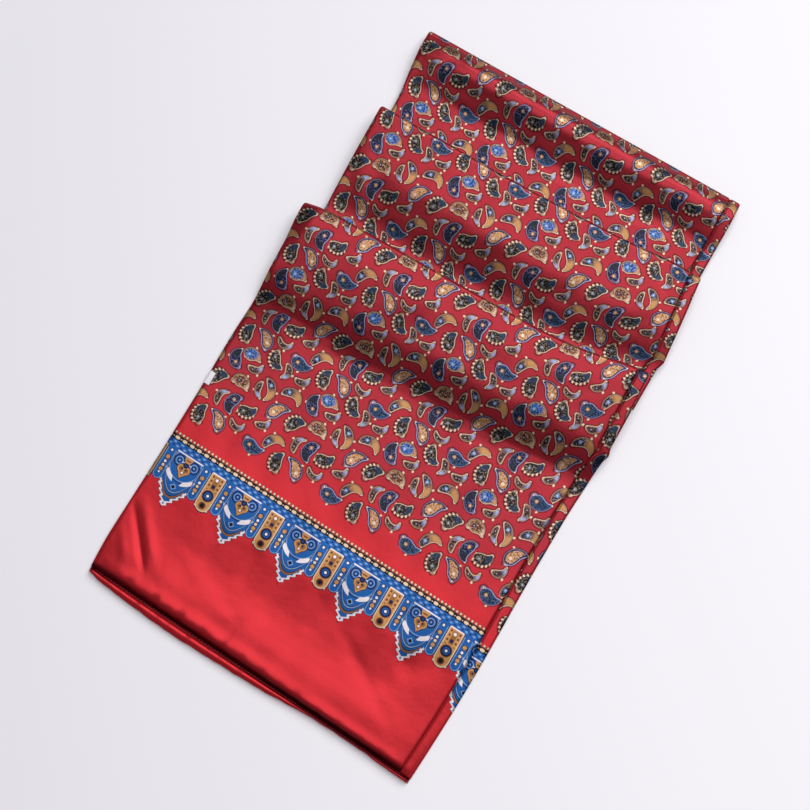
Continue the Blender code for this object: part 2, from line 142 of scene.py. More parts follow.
# ---- puckers that the hem's stitches draw into the panel: (across, length, half width, depth)
PUCKERS = ((-127, 9, 2.6, 1), (-116, 7, 1.8, 0.6), (-105, 12, 2.8, 1.3), (-92, 7, 1.6, 0.6),
           (-83, 13, 2.6, 1.4), (-71, 8, 2.2, 0.9), (-61, 13, 2.4, 1.4), (-50, 8, 1.8, 0.7),
           (-42, 10, 2.2, 1), (-25, 12, 2.4, 1.2), (-8, 9, 2.2, 0.9), (9, 8, 2.6, 0.8), (24, 7, 2, 0.5),
           (38, 9, 2.6, 0.7), (56, 7, 2.4, 0.5), (73, 8, 2.4, 0.6), (91, 7, 2.2, 0.4), (108, 8, 2.6, 0.5),
           (124, 7, 2.2, 0.5))
PUCKER_FROM = 4.2

# ---- rumples: a few long soft waves with no direction of their own -------------------------
RUMPLE_SEED = 4
RUMPLE_WAVES = 12
RUMPLE_LENGTHS = (16.0, 46.0)
RUMPLE_HEIGHT = 0.05      # of each wave

SEAM_DIP = 0.9            # how far both panels turn in at the right seam
SEAM_DIP_WIDTH = 0.9

# ---- how finely the cloth is made ------------------------------------------------------------
STATION_STEP = 1.55
PATH_FINE = 0.5           # the path's rise is measured over this length on both sides
BEND_STEPS = 14
LAPS = {"front": 12.0, "middle": 9.0, "rear": 12.0}   # how far a stretch runs back underneath
LAP_SHARES = (0.25, 0.6, 1.0)
LEFT_STEPS = 6
RIGHT_STEPS = 9
STRIP_STEPS = 6
FACE_STEPS = 158
BACK_EVERY = 6            # the underside is that much coarser than the face
LEAST_LENGTH = 1e-6

# ---- the folds underneath ----------------------------------------------------------------------
LAYERS = 3
LAYER_STEPS = 8
LAYER_ROUNDING = 1.2
HIDDEN_INSET = 2.5
HIDDEN_GAP = 0.6
HIDDEN_STEPS = 24
HIDDEN_ROW_STEP = 3.0
HIDDEN_ROWS = (("front", 241, 287, 0), ("ledge", 288.5, 313, 0), ("middle", 314.5, 382, 0),
               ("rear", 383.5, 464.8, 0), ("rear", 465.2, 479, 3.3))
HIDDEN_WANDER = 0.5       # how far the layers' edges wander
HIDDEN_WAVE = 17.0        # in waves of this size, each layer out of step by the next number
HIDDEN_PHASE = 2.1
HIDDEN_SHIFT = (3, 5)     # the print moves this far across and along for each millimetre up

# ---- hem ----------------------------------------------------------------------------------------
HEM_DEPTH = 3.3
HEM_STEP = 1.2
HEM_POINTS = 28
HEM_END = 2.4             # the roll closes over this length at its ends
HEM_CLOSED = 0.02         # and keeps at least the root of this share of its height
HEM_PACKING = 0.9         # the power that sets the points closer at its lip
HEM_WAVES = ((0.45, 3.7, 0.6), (0.35, 2.3, 2), (0.2, 1.35, 4))   # gathers: share, size, phase
HEM_GATHER = 0.09         # share of its height by which the gathers raise it
HEM_WANDER = 0.3          # how far its edge wanders with them
HEM_FOOT = 0.4            # its underside starts this far behind its edge
HEM_TOP = ((0, 0.8), (0.02, 2.2), (0.06, 3.2), (0.15, 3.8), (0.3, 4.15), (0.44, 4.35), (0.56, 4.3),
           (0.66, 4), (0.73, 3.2), (0.78, 2), (0.84, 1.5), (1, 1.7))
                          # (share of the roll's width, height): a lip with a trough behind it
HEM_TONGUE = ((0, 0.8), (1, 0.75), (1, 0.45), (0, 0.45), (-0.2, 0))
                          # (past the roll, height): what runs in between the two panels
STITCH_PITCH = 2.6
STITCH_SIZE = (0.85, 0.16, 0.14)
STITCH_ALONG = 2.9
STITCH_LIFT = 0.04

# ---- label --------------------------------------------------------------------------------------
LABEL_ALONG = (158.2, 168.8)
LABEL_POINTS = (22, 12)
LABEL_INSET = 0.5
LABEL_WIDTH = 4.4
LABEL_CURL = (0.25, 0.2)  # how high it arches, and how high its free side lies
LABEL_WALL = 0.8
LABEL_GAP = 0.3

# ---- print: where its rows and columns run -------------------------------------------------
PRINT_REPEAT = (67.0, 71.0)          # across, along
PRINT_ORIGIN = (18.5, 172.3)         # the chart's corner, from the left edge and from the hem
PRINT_STARTS = 133.0                 # the first row of motifs has its middles beyond this
PRINT_GROUND = (145.0, 30.0)         # the ground deepens round this place, over this length
TROUGH_SHADE_FROM = (1.7, 0.5)            # painted shade darkens the hem's trough, from
TROUGH_SHADE_TO = (7.2, 1.5)              # and to this place, each over that length
BORDER_REPEAT = 50.5
BORDER_FIRST = 22.5                  # middle of the first pendant, from the left edge
BACK_SHIFT = 10.0                    # the back panel's print runs this far nearer the hem
FIRST_FOLD_HIDES = 15.0              # of the print, besides whole repeats
SECOND_FOLD_HIDES = 33.0


def srgb(red, green, blue):
    """Linear colour of a paint that is given as 0 to 255 in sRGB."""
    def linear(level):
        level /= 255
        return level / 12.92 if level <= 0.04045 else ((level + 0.055) / 1.055) ** 2.4
    return (linear(red), linear(green), linear(blue), 1.0)


RED = srgb(218, 46, 55)        # of the plain end, as it looks where the cloth lies flat
PRINT_RED = srgb(172, 42, 54)  # of the ground between the motifs
TROUGH_SHADE_RED = srgb(96, 8, 22)  # painted shade: the darker red laid in the hem's trough
DARK_RED = srgb(72, 6, 18)
BLACK = srgb(16, 12, 20)
BROWN = srgb(112, 66, 50)
GOLD = srgb(208, 150, 90)
DEEP_GOLD = srgb(156, 104, 62)
CREAM = srgb(238, 208, 176)
WHITE = srgb(250, 240, 244)
ROYAL = srgb(28, 98, 174)
PALE_BLUE = srgb(130, 166, 216)
LAVENDER = srgb(172, 180, 226)
TEAL = srgb(28, 74, 116)
STEEL = srgb(30, 58, 86)
NAVY = srgb(22, 30, 74)
SLATE = srgb(30, 38, 45)
PLUM = srgb(62, 38, 50)
ASH = srgb(118, 128, 136)
LINER = srgb(52, 32, 44)       # the thin line inside a motif's outline
RIBBON_WHITE = srgb(236, 234, 240)
THREAD_RED = srgb(170, 24, 34)

# Kinds of motif: body, core, outline, eye, tip; then how deep the core lies, how far the spikes
# stand out, how strong the specks are, the beads (0 none, 0.5 at the tip, 1 at both ends), and
# where the tip's colour starts.
KINDS = {
    "teal":   (TEAL, STEEL, LAVENDER, GOLD, TEAL, 1.6, 0.0, 0.15, 1.0, 1.0),
    "spiky":  (SLATE, BLACK, CREAM, ASH, STEEL, 1.7, 1.0, 0.3, 0.0, 0.62),
    "navy":   (NAVY, GOLD, LAVENDER, CREAM, NAVY, 1.15, 0.0, 0.35, 1.0, 0.85),
    "blue":   (GOLD, ROYAL, CREAM, PALE_BLUE, GOLD, 0.75, 0.0, 0.3, 0.5, 0.75),
    "gold":   (DEEP_GOLD, NAVY, CREAM, PALE_BLUE, GOLD, 0.55, 0.0, 0.3, 0.5, 0.48),
    "leaf":   (DEEP_GOLD, PLUM, CREAM, SLATE, LAVENDER, 0.7, 0.0, 0.25, 0.5, 0.68),
    "dark":   (SLATE, NAVY, LAVENDER, GOLD, SLATE, 1.2, 0.0, 0.3, 0.5, 0.55),
    "cream":  (GOLD, BROWN, CREAM, NAVY, CREAM, 1.0, 0.0, 0.4, 0.5, 0.8),
}

# The chart of one repeat: across, towards the hem, length, half width as a share of the length,
# taper, bend in degrees (+ to the left), the way that it points halfway in degrees, kind.
MOTIFS = (
    (39, 36.2, 16.4, 0.28, 0.7, 60, -14, "teal"),
    (58, 34.6, 15.4, 0.28, 0.45, -60, 106, "spiky"),
    (6.6, 31, 17, 0.25, 0.6, 50, 124, "navy"),
    (20.9, 30.1, 15.6, 0.11, 0.2, 130, 0, "leaf"),
    (20.6, 43.6, 16, 0.25, 0.45, 80, -58, "spiky"),
    (33.9, 45.7, 13.6, 0.17, 0.4, -90, -76, "leaf"),
    (47, 46.6, 12.8, 0.18, 0.4, 90, 20, "leaf"),
    (60.2, 55.9, 16.4, 0.25, 0.45, -75, 118, "dark"),
    (4.5, 47.1, 14.2, 0.33, 0.65, -60, 16, "blue"),
    (12.2, 56.7, 12.8, 0.18, 0.4, 90, 22, "leaf"),
    (30, 63.8, 18.6, 0.145, 0.45, -80, -62, "gold"),
    (46.1, 56.4, 19.8, 0.15, 0.45, -110, 0, "gold"),
    (7.9, 68.8, 14.8, 0.3, 0.6, -80, 2, "cream"),
    (20, 68.3, 12.8, 0.16, 0.4, 50, -80, "leaf"),
    (40.3, 72.7, 17.5, 0.26, 0.65, -50, 56, "navy"),
    (56.2, 74.1, 15.2, 0.29, 0.45, -60, 56, "spiky"),
    (64.2, 15.3, 15, 0.14, 0.35, -80, 84, "leaf"),
    (7.2, 16.5, 17.4, 0.23, 0.45, 90, -104, "dark"),
    (22.4, 16, 15.7, 0.25, 0.45, 80, 14, "spiky"),
    (37.5, 17.9, 12.4, 0.19, 0.4, 80, 30, "leaf"),
    (48.8, 21.8, 19.4, 0.15, 0.45, -100, 44, "gold"),
)
TIP_HOOK = 0.18           # how far a drop's tip hooks over, as a share of its length

# ---- camera and light, in metres ---------------------------------------------------------------
LOOK_AT = Vector((-0.00388, -0.01688, 0.0))
CAMERA_TILT = 11.0
CAMERA_DISTANCE = 0.9
CAMERA_LENS = 54.7
SENSOR = 36.0
PHOTO_UP = Vector((-0.5, 0.866, 0.0))
# Lights: name, place, what it faces, size, power, colour.
LIGHTS = (("near ceiling", (0.4, -0.14, 4.0), (0.4, -0.14, 0.0), (4.4, 0.5), 13.0, (1.0, 0.99, 1.0)),
          ("ceiling", (0.4, 1.15, 4.0), (0.4, 1.15, 0.0), (4.4, 2.1), 88.0, (1.0, 0.99, 1.0)),
          ("window", (0.7, 3.55, 3.2), (0.2, 0.2, 0.0), (4.4, 2.8), 165.0, (1.0, 0.98, 0.98)))
SKY = (0.93, 0.93, 1.0, 1.0)
SKY_STRENGTH = 0.2
TABLE_SIZE = 6.0
# The table's tint is painted light: darker at the left, paler at the right.
TABLE_SHADED_LEFT = (0.755, 0.745, 0.785, 1.0)
TABLE_LIT_RIGHT = (0.895, 0.885, 0.915, 1.0)
TABLE_LIGHT_GRADIENT = (1.28, 0.5)   # painted light: share of the right's paler tint, gain to a metre, and at the middle
TABLE_ROUGHNESS = 0.7


def smooth_curve(rows, at):
    """Value at each position of a monotone cubic curve through (position, value) rows."""
    at = np.asarray(at, float)
    known = np.array([row[0] for row in rows], float)
    value = np.array([row[1] for row in rows], float)
    step = np.diff(known)
    slope = np.diff(value) / step
    tangent = np.concatenate(([slope[0]], np.zeros(len(slope) - 1), [slope[-1]]))
    for index in range(1, len(slope)):
        before, after = slope[index - 1], slope[index]
        if before * after > 0:
            tangent[index] = 2 * before * after / (before + after)
    at = np.clip(at, known[0], known[-1])
    cell = np.clip(np.searchsorted(known, at, side="right") - 1, 0, len(step) - 1)
    t = (at - known[cell]) / step[cell]
    return ((1 + 2 * t) * (1 - t) ** 2 * value[cell] + t * (1 - t) ** 2 * step[cell] * tangent[cell]
            + t * t * (3 - 2 * t) * value[cell + 1] + t * t * (t - 1) * step[cell] * tangent[cell + 1])


def ease(start, end, at):
    """0 at start, 1 at end, with a soft turn at both."""
    t = np.clip((at - start) / (end - start), 0.0, 1.0)
    return t * t * (3 - 2 * t)


def lean(across, along):
    """How far the cloth's cross lines run ahead of their station, at each place."""
    lines = [(HEM_AT, HEM_LINE), (BORDER_AT, BORDER_LINE), (FIRST_FOLD_AT, FIRST_FOLD_LINE),
             (SECOND_FOLD_AT, SECOND_FOLD_LINE), (FAR_END_AT, FAR_END_LINE)]
    result = smooth_curve(lines[0][1], across)
    for (start, _), (end, line) in zip(lines, lines[1:]):
        share = ease(start, end, along)
        result = result * (1 - share) + smooth_curve(line, across) * share
    return result


def settle(across, along):
    """Share of its lift that the cloth keeps: less at the drooping end of the first fold."""
    drooping = ease(DROOP_ACROSS[0], DROOP_ACROSS[1], across) * ease(*DROOP_ALONG, along)
    return 1.0 - DROOP * drooping


def creases(rows, across, along):
    """Height that a table of creases adds to the face panel."""
    total = np.zeros(np.broadcast(across, along).shape)
    for x0, y0, x1, y1, half_width, height in rows:
        length = math.hypot(x1 - x0, y1 - y0)
        along_crease = ((across - x0) * (x1 - x0) + (along - y0) * (y1 - y0)) / length
        off_crease = ((across - x0) * (y1 - y0) - (along - y0) * (x1 - x0)) / length
        fade = (ease(0.0, CREASE_FADE * length, along_crease)
                * ease(length, (1 - CREASE_FADE) * length, along_crease))
        total = total + height * fade * np.exp(-(off_crease / half_width) ** 2)
    return total


def puckers(across, along):
    """What the hem's stitches draw out of the panel, next to the hem."""
    total = np.zeros(np.broadcast(across, along).shape)
    for at, length, half_width, depth in PUCKERS:
        near = np.exp(-((across - at) / half_width) ** 2)
        total = total - depth * near * ease(PUCKER_FROM + length, PUCKER_FROM, along)
    return total


def rumple(across, along):
    """Long soft waves of the cloth."""
    chance = np.random.default_rng(RUMPLE_SEED)
    total = np.zeros(np.broadcast(across, along).shape)
    for _ in range(RUMPLE_WAVES):
        turn, phase = chance.uniform(0.0, 2 * math.pi, 2)
        length = chance.uniform(*RUMPLE_LENGTHS)
        total = total + RUMPLE_HEIGHT * np.sin(
            2 * math.pi * (across * math.cos(turn) + along * math.sin(turn)) / length + phase)
    return total


def edges(rows, along):
    """Where the cloth's left and right edges lie."""
    return [smooth_curve([(row[0], row[side]) for row in rows], along) for side in (1, 2)]


def swell(name, crown_rows, across, along, left, right):
    """Height of the face panel above the back panel's underside."""
    share = 2 * (across - left) / (right - left) - 1
    across_shape = 1 - np.abs(share) ** CROWN_SHOULDER
    crown = smooth_curve(crown_rows, along)
    inside = (ease(crown_rows[-1][0], crown_rows[-1][0] - CROWN_END, along)
              * ease(COVERED_TO[name], COVERED_TO[name] + COVER_FADE, along))
    cloth = creases(CREASES, across, along) + creases(SOFT_FOLDS[name], across, along)
    cloth = cloth + rumple(across, along)
    if name == "front":
        cloth = cloth + puckers(across, along)
    seam = right - SIDE_STRIP
    dip = SEAM_DIP * np.exp(-((across - seam) / SEAM_DIP_WIDTH) ** 2)
    height = TUBE_HEIGHT + (crown + cloth * inside) * across_shape - dip
    return np.maximum(height, FLATTEST)


def stretch_path(path_rows, lap):
    """Stations (y, z), their normals and the along value of each: up the path and round."""
    first, last = path_rows[0][0], path_rows[-1][0]
    along = np.linspace(first, last, int((last - first) / STATION_STEP) + 1)
    lift = smooth_curve(path_rows, along)
    rise = smooth_curve(path_rows, along + PATH_FINE) - smooth_curve(path_rows, along - PATH_FINE)
    rise = rise / (2 * PATH_FINE)
    size = np.sqrt(1 + rise ** 2)
    points = list(zip(along, lift))
    normals = list(zip(-rise / size, 1 / size))
    end_along, end_lift = points[-1]
    for step in range(1, BEND_STEPS + 1):
        angle = math.pi / 2 - math.pi * step / BEND_STEPS
        points.append((end_along + BEND_RADIUS * math.cos(angle),
                       end_lift - BEND_RADIUS + BEND_RADIUS * math.sin(angle)))
        normals.append((math.cos(angle), math.sin(angle)))
    for share in LAP_SHARES:
        points.append((end_along - lap * share, end_lift - 2 * BEND_RADIUS))
        normals.append((0.0, -1.0))
    stations = np.concatenate([along, np.full(len(points) - len(along), end_along)])
    return np.array(points), np.array(normals), stations


def rounding(centre, radius, first, last, steps):
    """Points of a side's rounding, between two angles."""
    middle = TUBE_HEIGHT / 2
    return [(centre + radius * math.cos(angle), middle + middle * math.sin(angle))
            for angle in np.linspace(first, last, steps + 1)]


def tube_ring(left, right, height):
    """Section of the tube as (across, height) points, with how many belong to the face."""
    seam = right - SIDE_STRIP
    left_centre = left + LEFT_ROUNDING
    right_centre = right - RIGHT_ROUNDING
    ring = rounding(left_centre, LEFT_ROUNDING, math.pi, math.pi / 2, LEFT_STEPS)[:-1]
    face_across = np.linspace(left_centre, seam, FACE_STEPS)
    ring += list(zip(face_across, height(face_across)))
    face_count = len(ring)
    strip_across = np.linspace(seam, right_centre, STRIP_STEPS + 1)[:-1]
    ring += list(zip(strip_across, height(strip_across)))
    ring += rounding(right_centre, RIGHT_ROUNDING, math.pi / 2, -math.pi / 2, RIGHT_STEPS)
    ring += [(across, 0.0) for across in face_across[::-BACK_EVERY]]
    ring += rounding(left_centre, LEFT_ROUNDING, -math.pi / 2, -math.pi, LEFT_STEPS)[1:]
    return np.array(ring), face_count


def lengths(points):
    """Distance along a line of points, from its first."""
    return np.concatenate([[0.0], np.cumsum(np.linalg.norm(np.diff(points, axis=0), axis=1))])


def tube_surface(name, path_rows, edge_rows, crown_rows):
    """Outer points of a stretch's tube, and the cloth's own place (across, along) of each."""
    points, normals, stations = stretch_path(path_rows, LAPS[name])
    run = lengths(points + TUBE_HEIGHT * normals) + path_rows[0][0]
    grid, cloth = [], []
    for (y, z), (normal_y, normal_z), along, ran in zip(points, normals, stations, run):
        left, right = edges(edge_rows, y)
        ring, face_count = tube_ring(
            left, right, lambda across: swell(name, crown_rows, across, along, left, right))
        plain, _ = tube_ring(left, right, lambda across: np.full(len(across), TUBE_HEIGHT))
        across, height = ring[:, 0], ring[:, 1]
        world_y = y + height * normal_y + lean(across, y)
        world_z = z * settle(across, y) + height * normal_z
        grid.append(np.stack([across, world_y, world_z], axis=1))
        cloth.append(np.stack([lengths(plain), np.full(len(ring), ran)], axis=1))
    return np.array(grid), np.array(cloth), face_count


def tangent(before, after):
    """Direction through a point, the nearer neighbour counting more."""
    near = np.maximum(np.linalg.norm(before, axis=-1, keepdims=True), LEAST_LENGTH)
    far = np.maximum(np.linalg.norm(after, axis=-1, keepdims=True), LEAST_LENGTH)
    return before * far / near + after * near / far


def inward(grid, wall):
    """The points of an outer grid, moved in by the wall along the surface's normals."""
    ahead = np.diff(grid, axis=1)
    around = tangent(np.concatenate([ahead[:, :1], ahead], axis=1),
                     np.concatenate([ahead, ahead[:, -1:]], axis=1))
    step = np.diff(grid, axis=0)
    forward = tangent(np.concatenate([step[:1], step]), np.concatenate([step, step[-1:]]))
    normal = np.cross(around, forward)
    normal /= np.maximum(np.linalg.norm(normal, axis=2, keepdims=True), LEAST_LENGTH)
    return grid - wall * normal


def show(name, data):
    """An object in the scene."""
    shown = bpy.data.objects.new(name, data)
    bpy.context.scene.collection.objects.link(shown)
    return shown


def in_metres(points):
    """Points in the shared frame: in metres, from the middle of the scarf's box."""
    return (np.array(points) - (CENTRE_ACROSS, CENTRE_ALONG, 0.0)) * MM


def add_object(name, points, faces, cloth, material):
    """One named mesh with its faces pointing out and the cloth's place as UV map."""
    mesh = bpy.data.meshes.new(name)
    mesh.from_pydata(in_metres(points).tolist(), [], faces)
    layer = mesh.uv_layers.new(name="cloth")
    index = np.zeros(len(mesh.loops), int)
    mesh.loops.foreach_get("vertex_index", index)
    layer.data.foreach_set("uv", (np.array(cloth)[index] / UV_MM).astype(np.float32).ravel())
    shape = bmesh.new()
    shape.from_mesh(mesh)
    bmesh.ops.recalc_face_normals(shape, faces=shape.faces)
    shape.to_mesh(mesh)
    shape.free()
    mesh.materials.append(material)
    mesh.shade_smooth()
    return show(name, mesh)


def grid_faces(rows, columns, start, flip):
    """Quads of a grid whose first point has the index start."""
    faces = []
    for row in range(rows - 1):
        for column in range(columns - 1):
            corner = start + row * columns + column
            quad = (corner, corner + 1, corner + columns + 1, corner + columns)
            faces.append(quad[::-1] if flip else quad)
    return faces


def add_wall(name, outer, wall, cloth, material):
    """A panel as one closed wall: its outer grid, and the same points moved in."""
    rows, columns = outer.shape[:2]
    inner = inward(outer, wall)
    offset = rows * columns
    faces = grid_faces(rows, columns, 0, False) + grid_faces(rows, columns, offset, True)
    rim = list(range(columns))
    rim += [row * columns + columns - 1 for row in range(1, rows)]
    rim += [(rows - 1) * columns + column for column in range(columns - 2, -1, -1)]
    rim += [row * columns for row in range(rows - 2, 0, -1)]
    for here, there in zip(rim, rim[1:] + rim[:1]):
        faces.append((here, there, there + offset, here + offset))
    points = np.concatenate([outer.reshape(-1, 3), inner.reshape(-1, 3)])
    cloth = np.concatenate([cloth.reshape(-1, 2)] * 2)
    return add_object(name, points, faces, cloth, material)


def add_loft(name, rings, cloth, material):
    """A closed piece through rings of equal point count, with flat ends."""
    rings = np.array(rings)
    count, around = rings.shape[:2]
    faces = []
    for ring in range(count - 1):
        for point in range(around):
            here = ring * around + point
            there = ring * around + (point + 1) % around
            faces.append((here, there, there + around, here + around))
    faces.append(tuple(range(around)))
    faces.append(tuple(range((count - 1) * around, count * around)))
    return add_object(name, rings.reshape(-1, 3), faces, np.array(cloth).reshape(-1, 2), material)


def add_stretch(name, path_rows, edge_rows, crown_rows, print_shift, finish):
    """Face and back panel of one stretch of the tube."""
    outer, cloth, face_count = tube_surface(name, path_rows, edge_rows, crown_rows)
    cloth = cloth + np.array((0.0, print_shift))
    face = add_wall(name + "_face_silk", outer[:, :face_count], SILK_WALL,
                    cloth[:, :face_count], finish)
    seam = face_count - 1
    back_outer = np.concatenate([outer[:, seam:seam + 1], outer[:, face_count:]], axis=1)
    back_cloth = np.concatenate([cloth[:, seam:seam + 1], cloth[:, face_count:]], axis=1)
    back_cloth = back_cloth + np.array((0.0, BACK_SHIFT))
    back = add_wall(name + "_back_silk", back_outer, SILK_WALL, back_cloth, finish)
    return face, back


def hem_form(across, share):
    """How far the hem's roll is gathered at a place, its width, and its height at a share of it."""
    gather = sum(part * np.sin(across / size + phase) for part, size, phase in HEM_WAVES)
    width = HEM_DEPTH + float(smooth_curve(HEM_REACH, across))
    return gather, width, smooth_curve(HEM_TOP, share) * (1 + HEM_GATHER * gather)


def add_hem(finish):
    """The turned hem: a soft roll on a flat underside, gathered by its stitches."""
    left, right = edges(FRONT_EDGES, HEM_AT)
    share = ease(0.0, 1.0, np.linspace(0.0, 1.0, HEM_POINTS)) ** HEM_PACKING
    rings, cloth = [], []
    for across in np.linspace(left, right, int((right - left) / HEM_STEP) + 1):
        gather, width, top = hem_form(across, share)
        end = min(across - left, right - across)
        closing = math.sqrt(max(1 - (1 - min(end / HEM_END, 1.0)) ** 2, HEM_CLOSED))
        depths = HEM_DEPTH - width * (1 - share) + HEM_WANDER * gather * (1 - share)
        section = [(depths[0] + HEM_FOOT, 0.0), *zip(depths, top * closing)]
        section += [(HEM_DEPTH + past, height) for past, height in HEM_TONGUE]
        ahead = lean(across, HEM_AT)
        rings.append([(across, float(depth) + ahead, float(height)) for depth, height in section])
        cloth.append([(across - left, float(depth)) for depth, _ in section])
    return add_loft("hem_roll", rings, cloth, finish)


def hidden_ring(cover, along, bottom):
    """Section of the folds underneath: flat below and above, with layers at both sides."""
    covers = {"front": (FRONT_PATH, FRONT_EDGES), "ledge": (MIDDLE_PATH, FRONT_EDGES),
              "middle": (MIDDLE_PATH, MIDDLE_EDGES), "rear": (REAR_PATH, REAR_EDGES)}
    path_rows, edge_rows = covers[cover]
    left, right = edges(edge_rows, along)
    left, right = left + HIDDEN_INSET, right - HIDDEN_INSET
    top = smooth_curve(path_rows, along) - HIDDEN_GAP
    share = np.linspace(0.0, 1.0, LAYER_STEPS * LAYERS + 1)
    bulge = LAYER_ROUNDING * (np.abs(np.sin(math.pi * share * LAYERS)) ** 0.5)
    layer = np.minimum((share * LAYERS).astype(int), LAYERS - 1)
    wander = (HIDDEN_WANDER * np.sin(along / HIDDEN_WAVE + HIDDEN_PHASE * layer)
              * (bulge / LAYER_ROUNDING))
    bulge = bulge - np.abs(wander)
    heights = bottom + (top - bottom) * share
    across = np.linspace(left, right, HIDDEN_STEPS)
    ring = [(x, bottom) for x in across[1:-1]]
    ring += [(right + out - LAYER_ROUNDING, z) for out, z in zip(bulge, heights)]
    ring += [(x, top) for x in across[-2:0:-1]]
    ring += [(left - out + LAYER_ROUNDING, z) for out, z in zip(bulge[::-1], heights[::-1])]
    points = []
    for x, z in ring:
        kept = settle(x, along) if z > bottom else 1.0
        points.append((x, along + lean(x, along), z * kept))
    return points


def add_hidden_folds(finish):
    """The layers that lie out of sight, with their folded sides."""
    rings, cloth = [], []
    for cover, first, last, bottom in HIDDEN_ROWS:
        for along in np.linspace(first, last, max(int((last - first) / HIDDEN_ROW_STEP), 2) + 1):
            ring = hidden_ring(cover, along, bottom)
            rings.append(ring)
            cloth.append([(x + HIDDEN_SHIFT[0] * z, along + HIDDEN_SHIFT[1] * z) for x, _, z in ring])
    return add_loft("folds_underneath", rings, cloth, finish)


def front_top(across, along):
    """Height of the front face panel's top on its flat stretch, rounded at the left edge."""
    left, right = edges(FRONT_EDGES, along)
    top = swell("front", FRONT_CROWN, across, along, left, right)
    inset = np.clip((left + LEFT_ROUNDING - across) / LEFT_ROUNDING, 0.0, 1.0)
    return top / 2 + top / 2 * np.sqrt(1 - inset ** 2)


def add_label(finish):
    """Small blank label: a folded ribbon beside the left seam, a little curled."""
    along, share = np.meshgrid(np.linspace(*LABEL_ALONG, LABEL_POINTS[0]),
                               np.linspace(0.0, 1.0, LABEL_POINTS[1]), indexing="ij")
    left, _ = edges(FRONT_EDGES, along)
    across = left + LABEL_INSET + LABEL_WIDTH * share
    run = (along - LABEL_ALONG[0]) / (LABEL_ALONG[1] - LABEL_ALONG[0])
    curl = LABEL_CURL[0] * np.sin(math.pi * run) * share + LABEL_CURL[1] * share ** 2
    world_z = front_top(across, along) + LABEL_GAP + LABEL_WALL + curl
    outer = np.stack([across, along + lean(across, along), world_z], axis=2)
    cloth = np.stack([across - left, along], axis=2)
    return add_wall("label_ribbon", outer, LABEL_WALL, cloth, finish)


# ---- nodes ------------------------------------------------------------------------------------
SOFT_EDGE = 0.18          # over this length, in millimetres, a mask fades unless it says otherwise


def fill(tree, node, inputs):
    """Links a node's inputs to sockets or fields, or sets their values."""
    for name, given in inputs.items():
        if isinstance(given, Field):
            given = given.socket
        if isinstance(given, bpy.types.NodeSocket):
            tree.links.new(given, node.inputs[name])
        else:
            node.inputs[name].default_value = given
    return node


def make(tree, kind, inputs, **settings):
    """A new node of a tree, with its settings and inputs."""
    node = tree.nodes.new(kind)
    for name, setting in settings.items():
        setattr(node, name, setting)
    return fill(tree, node, inputs)


def make_group(name, inputs, outputs, kind="ShaderNodeTree"):
    """A node group: inputs and outputs are (name, socket kind) pairs."""
    tree = bpy.data.node_groups.new(name, kind)
    for sockets, in_out in ((inputs, "INPUT"), (outputs, "OUTPUT")):
        for socket, socket_kind in sockets:
            tree.interface.new_socket(name=socket, in_out=in_out, socket_type=socket_kind)
    return tree, tree.nodes.new("NodeGroupInput"), tree.nodes.new("NodeGroupOutput")


def mix(tree, share, first, second, **settings):
    """The colour between two."""
    return make(tree, "ShaderNodeMix", {0: share, 6: first, 7: second},
                data_type="RGBA", **settings).outputs[2]


def parts(tree, whole, kind="ShaderNodeSeparateXYZ"):
    """The three numbers of a place or of a colour, as fields."""
    return [Field(tree, socket) for socket in make(tree, kind, {0: whole}).outputs]


def noise(tree, place, scale, detail, roughness=0.5):
    """Soft noise, from 0 to 1, as a field."""
    return Field(tree, make(tree, "ShaderNodeTexNoise", {
        "Vector": place, "Scale": scale, "Detail": detail, "Roughness": roughness}).outputs[0])


def vector_math(tree, operation, *inputs):
    """A Vector Math node on sockets and places."""
    return make(tree, "ShaderNodeVectorMath", dict(enumerate(inputs)), operation=operation).outputs


class Field:
    """A number that varies over the cloth.  Its arithmetic makes Math nodes in one tree."""

    def __init__(self, tree, socket):
        self.tree = tree
        self.socket = socket

    def math(self, operation, *others, clamp=False):
        node = make(self.tree, "ShaderNodeMath", dict(enumerate((self, *others))),
                    operation=operation, use_clamp=clamp)
        return Field(self.tree, node.outputs[0])

    def __add__(self, other):
        return self.math("ADD", other)

    def __sub__(self, other):
        return self.math("SUBTRACT", other)

    def __rsub__(self, other):
        return self.math("MULTIPLY_ADD", -1.0, other)

    def __mul__(self, other):
        return self.math("MULTIPLY", other)

    __rmul__ = __mul__

    def __truediv__(self, other):
        return self.math("DIVIDE", other)

    def __abs__(self):
        return self.math("ABSOLUTE")

    def least(self, other):
        return self.math("MINIMUM", other)

    def most(self, other):
        return self.math("MAXIMUM", other)

    def wrap(self, half):
        """The number folded into -half to half."""
        return self.math("WRAP", half, -half)

    def below(self, limit, soft=SOFT_EDGE):
        """1 where the number is below the limit, 0 above it, with a soft edge."""
        return self.math("MULTIPLY_ADD", -0.5 / soft, 0.5 + limit * 0.5 / soft, clamp=True)

    def above(self, limit, soft=SOFT_EDGE):
        """1 where the number is above the limit, 0 below it, with a soft edge."""
        return self.math("MULTIPLY_ADD", 0.5 / soft, 0.5 - limit * 0.5 / soft, clamp=True)

    def near(self, middle, half_width, soft=SOFT_EDGE):
        """1 where the number lies within a half width of a middle, with soft edges."""
        return abs(self - middle).below(half_width, soft)


def span(across, down):
    """Length of the line to a point that lies that far across and down."""
    return (across * across + down * down).math("SQRT")


class Paint:
    """Colour on the cloth, layer on layer."""

    def __init__(self, tree, ground):
        self.tree = tree
        self.colour = ground

    def lay(self, mask, colour):
        self.colour = mix(self.tree, mask, self.colour, colour)


